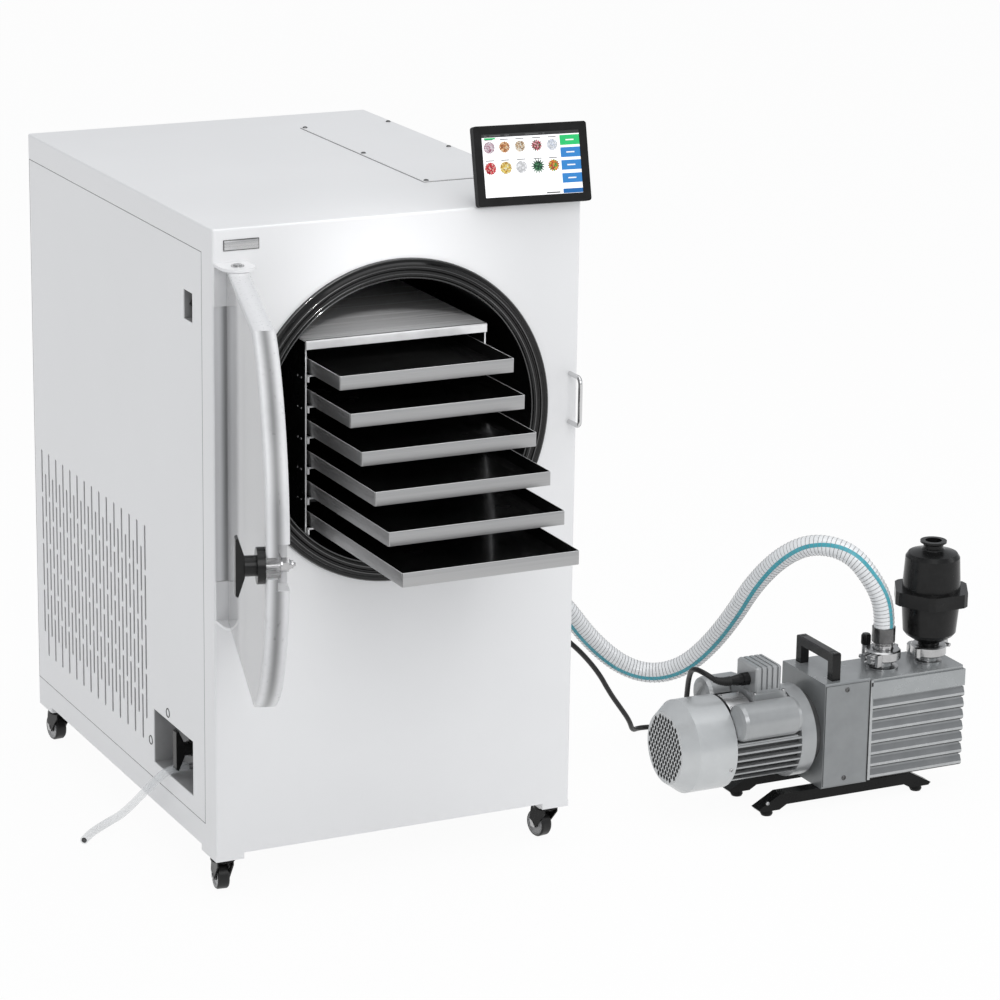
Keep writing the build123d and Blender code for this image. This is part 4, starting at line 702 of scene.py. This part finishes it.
def litFinish(name, darker, lighter, scale, glow=0.35, cells=False):
    finish, tree, shader, place = newFinish(name)
    if cells:
        pattern = tree.nodes.new("ShaderNodeTexVoronoi")
        pattern.inputs["Scale"].default_value = scale
        tree.links.new(place, pattern.inputs["Vector"])
        factor = pattern.outputs["Distance"]
    else:
        factor = noiseAt(tree, place, scale)
    colour = colourBetween(tree, factor, darker, lighter)
    tree.links.new(colour, shader.inputs["Base Color"])
    tree.links.new(colour, shader.inputs["Emission Color"])
    shader.inputs["Emission Strength"].default_value = glow
    shader.inputs["Roughness"].default_value = 0.12
    return finish


def screenTile(name, u, v, finish, out=0.0, rounding=0.6):
    putDown()
    bpy.ops.mesh.primitive_plane_add(size=1)
    tile = bpy.context.object
    tile.name = name
    corners = [onScreen(a, b, out) for a, b in ((u[0], v[0]), (u[1], v[0]), (u[0], v[1]), (u[1], v[1]))]
    for vertex, corner in zip(tile.data.vertices, corners):
        vertex.co = corner
    tile.data.update()
    pick(tile)
    bpy.ops.object.mode_set(mode="EDIT")
    bpy.ops.mesh.select_all(action="SELECT")
    bpy.ops.mesh.bevel(offset=rounding / 1000, segments=3, affect="VERTICES")
    bpy.ops.object.mode_set(mode="OBJECT")
    wear(tile, finish, "cabinet")
    return tile


def screenDisc(name, u, v, radius, finish, out, points=28, spike=0.0):
    putDown()
    bpy.ops.mesh.primitive_circle_add(vertices=points, radius=1, fill_type="NGON")
    disc = bpy.context.object
    disc.name = name
    for index, vertex in enumerate(disc.data.vertices):
        angle = 2 * pi * index / points
        reach = radius * (1 + spike * (1 if index % 2 else -1))
        vertex.co = onScreen(u + reach * cos(angle), v + reach * sin(angle), out)
    disc.data.update()
    wear(disc, finish, "cabinet")
    return disc


picture = dict(left=-71.4, right=71.4, low=11.8, high=98.4, header=93.8, column=42.5)
screenTile("screenHeader", (picture["left"], picture["right"]), (picture["header"], picture["high"]),
           litFinish("headerGrey", grey(0.03), grey(0.04), 20, 0.1), 0.06, rounding=0.2)
screenTile("screenField", (picture["left"], picture["right"]), (picture["low"], picture["header"]),
           litFinish("fieldWhite", grey(0.86), grey(0.87), 20, 0.45), 0.06, rounding=0.2)
greenFill = litFinish("buttonGreen", (0.02, 0.48, 0.14), (0.03, 0.52, 0.16), 30, 0.25)
blueFill = litFinish("buttonBlue", (0.03, 0.20, 0.52), (0.035, 0.22, 0.55), 30, 0.2)
deepBlueFill = litFinish("buttonDeepBlue", (0.01, 0.12, 0.36), (0.015, 0.13, 0.39), 30, 0.2)
paleFill = litFinish("labelPale", grey(0.75), grey(0.8), 30, 0.3)
dimFill = litFinish("labelDim", grey(0.10), grey(0.14), 30, 0.05)
for name, v, fill in (("Green", (78.4, 92.2), greenFill), ("BlueTop", (61.6, 75.2), blueFill),
                      ("BlueMiddle", (44.2, 57.6), blueFill), ("BlueLow", (26.4, 39.6), blueFill),
                      ("BlueLast", (12.2, 18.4), deepBlueFill)):
    screenTile("button" + name, (picture["column"], picture["right"]), v, fill, 0.12)
    if name != "BlueLast":
        middleOf = (v[0] + v[1]) / 2
        screenTile("buttonMark" + name, (51, 63), (middleOf - 0.9, middleOf + 0.9), paleFill, 0.16, 0.3)


def foodFinish(name, colours, cells):
    # a heap of small pieces, each cell one of the colours
    finish, tree, shader, place = newFinish(name)
    pattern = tree.nodes.new("ShaderNodeTexVoronoi")
    pattern.inputs["Scale"].default_value = cells
    tree.links.new(place, pattern.inputs["Vector"])
    split = tree.nodes.new("ShaderNodeSeparateColor")
    tree.links.new(pattern.outputs["Color"], split.inputs["Color"])
    pieces = rampOf(tree, split.outputs["Red"], [(k / len(colours), c) for k, c in enumerate(colours)], "CONSTANT")
    shade = multiplied(tree, pieces, colourBetween(tree, pattern.outputs["Distance"], grey(1.0), grey(0.25)), 0.5)
    tree.links.new(shade, shader.inputs["Base Color"])
    tree.links.new(shade, shader.inputs["Emission Color"])
    shader.inputs["Emission Strength"].default_value = 0.15
    shader.inputs["Roughness"].default_value = 0.12
    return finish


pinkWhite, palePink, plum = (0.7, 0.62, 0.66), (0.62, 0.4, 0.46), (0.3, 0.12, 0.18)
foods = [    # name, radius, spikes, size of its pieces, colours
    ("slicedFruit", 8.0, 0, 900, (pinkWhite, pinkWhite, palePink, plum)),
    ("friedRounds", 7.6, 0.05, 600, ((0.62, 0.26, 0.09), (0.72, 0.42, 0.2), (0.35, 0.12, 0.04), (0.8, 0.6, 0.4))),
    ("toastedPieces", 7.6, 0.08, 700, ((0.75, 0.66, 0.52), (0.8, 0.76, 0.68), (0.32, 0.2, 0.11), (0.6, 0.4, 0.22))),
    ("driedMeat", 7.4, 0.16, 500, ((0.42, 0.05, 0.08), (0.7, 0.36, 0.38), (0.05, 0.12, 0.05), (0.28, 0.03, 0.05))),
    ("whitePowder", 7.8, 0.04, 500, ((0.62, 0.66, 0.74), (0.74, 0.77, 0.82), (0.8, 0.82, 0.85))),
    ("redFruit", 8.2, 0.06, 600, ((0.6, 0.02, 0.03), (0.72, 0.06, 0.07), (0.8, 0.5, 0.45), (0.4, 0.01, 0.02))),
    ("yellowFruit", 8.4, 0.05, 600, ((0.72, 0.45, 0.05), (0.8, 0.66, 0.2), (0.8, 0.75, 0.5), (0.5, 0.25, 0.04))),
    ("whiteBowl", 8.4, 0, 300, ((0.72, 0.72, 0.73), (0.78, 0.78, 0.79))),
    ("greenLeaves", 8.6, 0.3, 700, ((0.01, 0.07, 0.03), (0.03, 0.14, 0.06), (0.08, 0.24, 0.12), (0.005, 0.03, 0.02))),
    ("mixedPieces", 8.0, 0.14, 600, ((0.1, 0.35, 0.05), (0.75, 0.2, 0.03), (0.7, 0.5, 0.08), (0.45, 0.04, 0.04))),
]
for index, (name, size, spike, cells, colours) in enumerate(foods):
    u = (-61.5, -39.2, -16.3, 8, 31.0)[index % 5]
    v = 80 if index < 5 else 51.5
    screenDisc(name, u, v, size, foodFinish(name, colours, cells), 0.12, points=30, spike=spike)
    screenTile(name + "Label", (u - 6, u + 6), (v + 10.0, v + 11.1), dimFill, 0.12, 0.2)
screenTile("labelGreen", (-68, -52), (91.0, 93.2), greenFill, 0.12, 0.2)
screenTile("footLabel", (18, 38), (13.2, 15.0), dimFill, 0.12, 0.2)
for index, (low, high) in enumerate(((-68, -64), (-60, -44), (-38, -31), (-8, 12), (18, 21))):
    screenTile("headerMark%d" % index, (low, high), (95.4, 96.8), dimFill, 0.12, 0.2)
print("screen picture made")

# ---- Screws and small fastenings ----
railLevels = (736.0, 692.7, 649.4, 606.1, 562.8, 519.5)
screwHeads = {
    "coverScrew": dict(radius=3.8, height=1.8, socket=1.9, finish="darkSteel", axis=(0, 0, 1),
                       places=[(400, 187, 957.5), (538, 187, 957.5), (400, 404, 957.5), (538, 404, 957.5),
                               (400, 620, 957.5), (538, 620, 957.5)]),
    "couplingScrew": dict(radius=3.9, height=1.8, socket=2.0, finish="darkSteel", axis=(0, -1, 0),
                          places=[(993, -40, 186), (993, -40, 47)]),
    "rearScrew": dict(radius=4.0, height=1.8, socket=1.8, finish="turnedSteel", axis=(0, 1, 0),
                      places=[(x, 735, z) for x in (14, 275, 536) for z in (84, 510, 938)]),
    "terminalScrew": dict(radius=3.0, height=2.0, socket=1.4, finish="turnedSteel", axis=(0, 0, 1),
                          places=[(854, -6.5, 188), (902, -6.5, 188), (854, 56.5, 188), (902, 56.5, 188)]),
    "fanCoverScrew": dict(radius=3.2, height=1.8, socket=1.5, finish="turnedSteel",
                          axis=(0, -0.94, -0.34), places=[(798, -40.7, 88.3)]),
    "capacitorScrew": dict(radius=3.4, height=2.2, socket=1.5, finish="turnedSteel",
                           axis=(0, -0.8, 0.6), places=[(811, -30.5, 153.6), (903, -30.5, 153.6)]),
    "handleScrew": dict(radius=3.4, height=0.8, socket=1.9, finish="darkSteel", axis=(0, 0, 1),
                        places=[(980, -21, 240), (980, 71, 240)]),
    "hingeScrew": dict(radius=4.8, height=2.2, socket=2.7, finish="darkSteel", axis=(0, 0, 1),
                       places=[(25, -27, 911)]),
    "skidScrew": dict(radius=3.0, height=1.8, socket=1.4, finish="turnedSteel", axis=(0, -1, 0),
                      places=[(868, -31, 22)]),
    "rackScrewLeft": dict(radius=2.2, height=1.4, socket=1.0, finish="turnedSteel", axis=(-1, 0, 0),
                          places=[(137.5, y, z) for z in railLevels for y in (22, 34)]),
    "rackScrewRight": dict(radius=2.2, height=1.4, socket=1.0, finish="turnedSteel", axis=(1, 0, 0),
                           places=[(409.5, y, z) for z in railLevels for y in (22, 34)]),
}


def screwHead(name, v, place):
    r, h, s = v["radius"], v["height"], v["socket"]
    head = turnOut(name, here(*place), v["axis"], [(r * 0.96, -0.2), (r, 0.25 * h), (r * 0.82, 0.8 * h), (r * 0.6, h),
                                                   (s, h), (s * 0.95, 0.45 * h), (s * 0.3, 0.4 * h)], sides=18)
    return wear(head, finishes[v["finish"]], "cabinet")


for kind, v in screwHeads.items():
    heads = [screwHead("%s%d" % (kind, index + 1), v, place) for index, place in enumerate(v["places"])]
    joined = joinAll(kind + "s", heads)
print("screws set")

# ---- Plates, seams, painted shade sheets and small fittings ----
boxPieces = {    # name: x, y and z ranges, rounding, finish
    "badgePlate": ((15.4, 67), (-1.1, 0.2), (925.5, 940.5), 0.4, "darkSteel"),
    "badgeField": ((16.6, 65.8), (-1.5, -0.4), (926.7, 939.3), 0.25, "badgeSilver"),
    # dark sheets just behind the side vents: painted shade inside the vents
    "ventShadeLeft": ((2.4, 3.6), (254, 716), (140, 486), 0.3, "holeShadeSheet"),
    "ventShadeRight": ((546.4, 547.6), (376, 716), (140, 486), 0.3, "holeShadeSheet"),
    "hingeStrip": ((0.6, 21.5), (-2.4, 0.2), (467.5, 851.1), 1.1, "hingeLeafPaintedLight"),
    # a dark strip above the top plate's lip: painted shade at the fold
    "plateFoldPaintedShade": ((138.4, 408.6), (6.4, 9.2), (789.9, 790.2), 0.12, "paintedShadeDark"),
    # a dark gasket slab under the terminal box's flange, its finish also painted shade under the flange
    "terminalGasket": ((852, 904), (-9, 59), (178.5, 182.2), 0.6, "paintedShadeDark"),
    "tankGasket": ((1033.4, 1034.9), (-39.2, 62.6), (35.6, 194.8), 0.2, "seamShade"),
    "tankEndPlug": ((1036.5, 1039.5), (-38.6, -37.5), (184, 190), 0.5, "seamShade"),
    # a dark strip on the handle's top: painted shade in its groove
    "handleSlotPaintedShade": ((974.5, 985.5), (-14, 64), (240, 240.35), 0.3, "paintedShadeDark"),
}
for name, (x, y, z, rounding, finishName) in boxPieces.items():
    wear(roundOff(startBox(name, x, y, z), rounding), finishes[finishName], "cabinet")


def seamLoop(name, low, high, flat, width, finishName):
    # a thin frame lying in one face: flat is the axis it has no depth along, and its place on it
    axis, place, thickness = flat
    bars = []
    others = [k for k in range(3) if k != axis]
    for first in (0, 1):
        a, b = others[first], others[1 - first]
        for edge in (low[b] - width, high[b]):
            ranges = [None, None, None]
            ranges[axis] = (place, place + thickness)
            ranges[a] = (low[a] - width, high[a] + width)
            ranges[b] = (edge, edge + width)
            bars.append(startBox(name, *ranges))
    return wear(roundOff(joinAll(name, bars), width * 0.15, 1), finishes[finishName], "cabinet")


def seamRound(name, node, flat, width, finishName):
    low, high = (back(corner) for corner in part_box(node))
    return seamLoop(name, low, high, flat, width, finishName)


# dark frames in the gaps around the panels and the coupling cover: painted shade in the seams
seamRound("seamLeftPanel", "left_side_panel", (0, -0.12, 0.5), 0.85, "seamShade")
seamRound("seamRightPanel", "right_side_panel", (0, 549.6, 0.5), 0.85, "seamShade")
seamRound("seamRearPanel", "rear_panel", (1, 734.6, 0.5), 0.6, "seamShade")
seamRound("seamTopCover", "top_cover", (2, 956.0, 0.4), 0.6, "seamShade")
seamLoop("seamCouplingCover", (958, 0, 37.6), (1029.6, 0, 193.4), (1, -38.25, 0.4), 0.8, "seamShade")

railTops = [back(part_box("tray_%d" % number)[0]).z - 1.8 for number in range(1, 7)]
for number, top in enumerate(railTops, 1):
    for side, (inner, outer, reach) in (("Left", (139.6, 142.2, 151)), ("Right", (404.8, 407.4, 396))):
        leg = startBox("leg", (inner, outer), (3.6, 6.2), (top - 10, top))
        arm = startBox("arm", (min(inner, reach), max(outer, reach)), (3.6, 6.2), (top - 2.4, top))
        hook = roundOff(joinAll("railHook%s%d" % (side, number), [leg, arm]), 0.5)
        wear(hook, finishes["brightSteelAndPaintedHighlight"], "cabinet")


def ringOn(name, centre, axis, radius, tube, finishName, body="cabinet"):
    putDown()
    facing = Vector(axis).to_track_quat("Z", "Y").to_euler()
    bpy.ops.mesh.primitive_torus_add(location=here(*centre), rotation=facing, major_radius=radius / 1000,
                                     minor_radius=tube / 1000, major_segments=max(40, int(radius)), minor_segments=12)
    ring = bpy.context.object
    ring.name = name
    settle(ring)
    bpy.ops.object.shade_smooth()
    return wear(ring, finishes[finishName], body)


ringOn("knockOutUpper", (0, 181, 219.5), (1, 0, 0), 6.2, 0.75, "seamShade")
ringOn("knockOutLower", (0, 250, 156), (1, 0, 0), 6.2, 0.75, "seamShade")
for index, z in enumerate((232, 236, 240, 244, 248, 252, 256)):
    ringOn("adapterRidge%d" % (index + 1), (1084, 10.5, z), (0, 0, 1), 17.2, 0.5, "darkSteel")

for index, (radius, y) in enumerate(((208.3, -7.95), (217.3, -7.45), (227.6, -4.3), (202.6, -5.8))):
    ring = ringOn("gasketLip%d" % (index + 1), (273.5, y, 665.8), (0, 1, 0), radius, 1.3, "gasketGloss")

# Bare rating plate over the motor's barrel
rows = []
for step in range(13):
    angle = radians(-33 + 36 * step / 12)
    rows.append([here(x, motorY + barrel * sin(angle), motorZ + barrel * cos(angle)) for x in (810, 822, 834, 847)])
plate = meshFrom("ratingPlate", rows, False)
thickened(plate, 1.2)
roundOff(plate, 0.3)
wear(plate, finishes["badgeSilver"])
for index, (x, degrees) in enumerate(((813, -29), (813, -1), (844, -29), (844, -1))):
    angle = radians(degrees)
    outward = Vector((0, sin(angle), cos(angle)))
    foot = here(x, motorY + barrel * sin(angle), motorZ + barrel * cos(angle))
    rivet = turnOut("plateRivet%d" % (index + 1), foot, outward,
                    [(2.0, -0.4), (2.0, 0.7), (1.4, 1.3), (0.5, 1.6)], sides=18)
    wear(rivet, finishes["turnedSteel"])

# Flange under the front capacitor cover
flange = startBox("capacitorFlange", (805, 909), (-44, -26), (126, 128.5))
wear(roundOff(flange, 0.8), finishes["motorGrey"])

# Guard beside the power rocker
profile = [(19.4, 14), (13.4, 10.5), (6.2, 0), (13.4, -10.5), (19.4, -14)]
guardRows = [[here(x, y, 833 + z) for x, z in profile] for y in (95.4, 101.4)]
guard = meshFrom("rockerGuard", guardRows, True)
roundOff(guard, 0.5)
wear(guard, finishes["blackMoulding"])

# Black patches over the fan cover's holes: painted shade inside the holes
holes = []
pitch, reach = 8.6, (2.6, 3.9)
for row in range(-6, 7):
    for step in range(-7, 8):
        y, z = (step + 0.5 * (row % 2)) * pitch, row * pitch * 0.866
        if hypot(y, z) < 49:
            centre = (721.85, motorY + y, motorZ + z)
            corners = [here(centre[0], centre[1] + a * reach[0], centre[2] + b * reach[1])
                       for a, b in ((0.25, 1), (-0.25, 1), (-1, 0.25), (-1, -0.25), (-0.25, -1), (0.25, -1),
                                    (1, -0.25), (1, 0.25))]
            holes.append(corners)
mesh = bpy.data.meshes.new("fanGrilleHoleShade")
mesh.from_pydata([tuple(c) for corners in holes for c in corners], [],
                 [tuple(range(8 * k, 8 * k + 8)) for k in range(len(holes))])
mesh.update()
holeShade = bpy.data.objects.new("fanGrilleHoleShade", mesh)
bpy.context.scene.collection.objects.link(holeShade)
thickened(holeShade, 0.2)
wear(holeShade, finishes["holeShadeSheet"])

# Dark disc in the drain tube's cut end: painted shade of its bore
tubeLine = lineOf(drainTube)
tubeEnd, tubeWay = tubeLine[-1], (tubeLine[-1] - tubeLine[-2]).normalized()
bore = turnOut("drainTubeBoreShade", tubeEnd, tubeWay, [(4.1, 0.02), (4.0, 0.12)], sides=28)
wear(bore, finishes["paintedShadeDark"], "cabinet")
print("plates, seams and fittings set")

# ---- Studio ----
floorValues = dict(size=24, drop=0.0005, white=0.9, glow=0.955)    # the rest of the glow leaves the shadow
worldValues = dict(colour=(0.95, 0.97, 1.0, 1), strength=0.55)


def anyRay(tree, kinds):    # 1 for a ray of one of these kinds
    rays = tree.nodes.new("ShaderNodeLightPath")
    found = rays.outputs[kinds[0]]
    for kind in kinds[1:]:
        either = tree.nodes.new("ShaderNodeMath")
        either.operation = "MAXIMUM"
        tree.links.new(found, either.inputs[0])
        tree.links.new(rays.outputs[kind], either.inputs[1])
        found = either.outputs[0]
    return found


def mixInto(tree, outputType, factor, first, second):
    mix = tree.nodes.new("ShaderNodeMixShader")
    tree.links.new(factor, mix.inputs["Fac"])
    tree.links.new(first.outputs[0], mix.inputs[1])
    tree.links.new(second.outputs[0], mix.inputs[2])
    tree.links.new(mix.outputs[0], tree.nodes.new(outputType).inputs["Surface"])


putDown()
bpy.ops.mesh.primitive_plane_add(size=floorValues["size"], location=(0, 0, -floorValues["drop"]))
floor = bpy.context.object
floor.name = "studioFloor"
floorFinish = bpy.data.materials.new("studioFloor")
floorFinish.use_nodes = True
tree = floorFinish.node_tree
tree.nodes.clear()
matte = tree.nodes.new("ShaderNodeBsdfDiffuse")
matte.inputs["Color"].default_value = (*[floorValues["white"]] * 3, 1)
glow = tree.nodes.new("ShaderNodeEmission")
glow.inputs["Strength"].default_value = 1.0
share = tree.nodes.new("ShaderNodeMath")
share.operation = "MULTIPLY"
share.inputs[1].default_value = floorValues["glow"]
tree.links.new(anyRay(tree, ("Is Camera Ray", "Is Glossy Ray", "Is Transmission Ray")), share.inputs[0])
mixInto(tree, "ShaderNodeOutputMaterial", share.outputs[0], matte, glow)
floor.data.materials.append(floorFinish)

world = bpy.data.worlds.new("Studio")
bpy.context.scene.world = world
world.use_nodes = True
tree = world.node_tree
tree.nodes.clear()
soft = tree.nodes.new("ShaderNodeBackground")
soft.inputs["Color"].default_value = worldValues["colour"]
soft.inputs["Strength"].default_value = worldValues["strength"]
white = tree.nodes.new("ShaderNodeBackground")
white.inputs["Color"].default_value = (1, 1, 1, 1)
white.inputs["Strength"].default_value = 1.0
mixInto(tree, "ShaderNodeOutputWorld", anyRay(tree, ("Is Camera Ray", "Is Transmission Ray")), soft, white)

lampValues = {
    "frontSoftbox": dict(place=(-0.7, -3.6, 2.7), aim=(0, 0, 0.6), size=2.2, power=47),
    "topSoftbox": dict(place=(0.2, -0.4, 3.6), aim=(0, 0.1, 0.4), size=3.0, power=36),
    "leftSoftbox": dict(place=(-3.6, 0.6, 1.7), aim=(0, 0.1, 0.5), size=2.2, power=9),
    "rightStrip": dict(place=(3.2, -1.6, 1.4), aim=(0.5, 0, 0.3), size=1.6, power=14),
}
for lampName, v in lampValues.items():
    putDown()
    bpy.ops.object.light_add(type="AREA", location=v["place"])
    lamp = bpy.context.object
    lamp.name = lampName
    lamp.data.shape = "SQUARE"
    lamp.data.size = v["size"]
    lamp.data.energy = v["power"]
    lamp.rotation_euler = (Vector(v["aim"]) - Vector(v["place"])).to_track_quat("-Z", "Y").to_euler()

cameraValues = dict(place=(-1807.5, -4519.3, 2003.8), azimuth=26.357, down=16.250, roll=0.892, lens=134.58)
azimuth, down, roll = (radians(cameraValues[key]) for key in ("azimuth", "down", "roll"))
ahead = Vector((sin(azimuth) * cos(down), cos(azimuth) * cos(down), -sin(down)))
right = Vector((cos(azimuth), -sin(azimuth), 0))
upward = right.cross(ahead)
tiltedRight = right * cos(roll) + upward * sin(roll)
tiltedUp = upward * cos(roll) - right * sin(roll)
spotValues = dict(place=(-160, -2250, 2120), aim=(273, 90, 792), power=190, angle=5.4, blend=0.7, softness=0.12)
putDown()
bpy.ops.object.light_add(type="SPOT", location=here(*spotValues["place"]))
spot = bpy.context.object
spot.name = "rackSpot"
spot.data.energy = spotValues["power"]
spot.data.spot_size = radians(spotValues["angle"])
spot.data.spot_blend = spotValues["blend"]
spot.data.shadow_soft_size = spotValues["softness"]
spot.rotation_euler = (here(*spotValues["aim"]) - spot.location).to_track_quat("-Z", "Y").to_euler()

putDown()
bpy.ops.object.camera_add()
camera = bpy.context.object
turn = Matrix((tiltedRight, tiltedUp, -ahead)).transposed().to_4x4()
camera.matrix_world = Matrix.Translation(here(*cameraValues["place"])) @ turn
camera.data.lens = cameraValues["lens"]
camera.data.sensor_width = 36
camera.data.clip_end = 60
bpy.context.scene.camera = camera
bpy.context.scene.view_settings.view_transform = "Standard"
print("studio set")
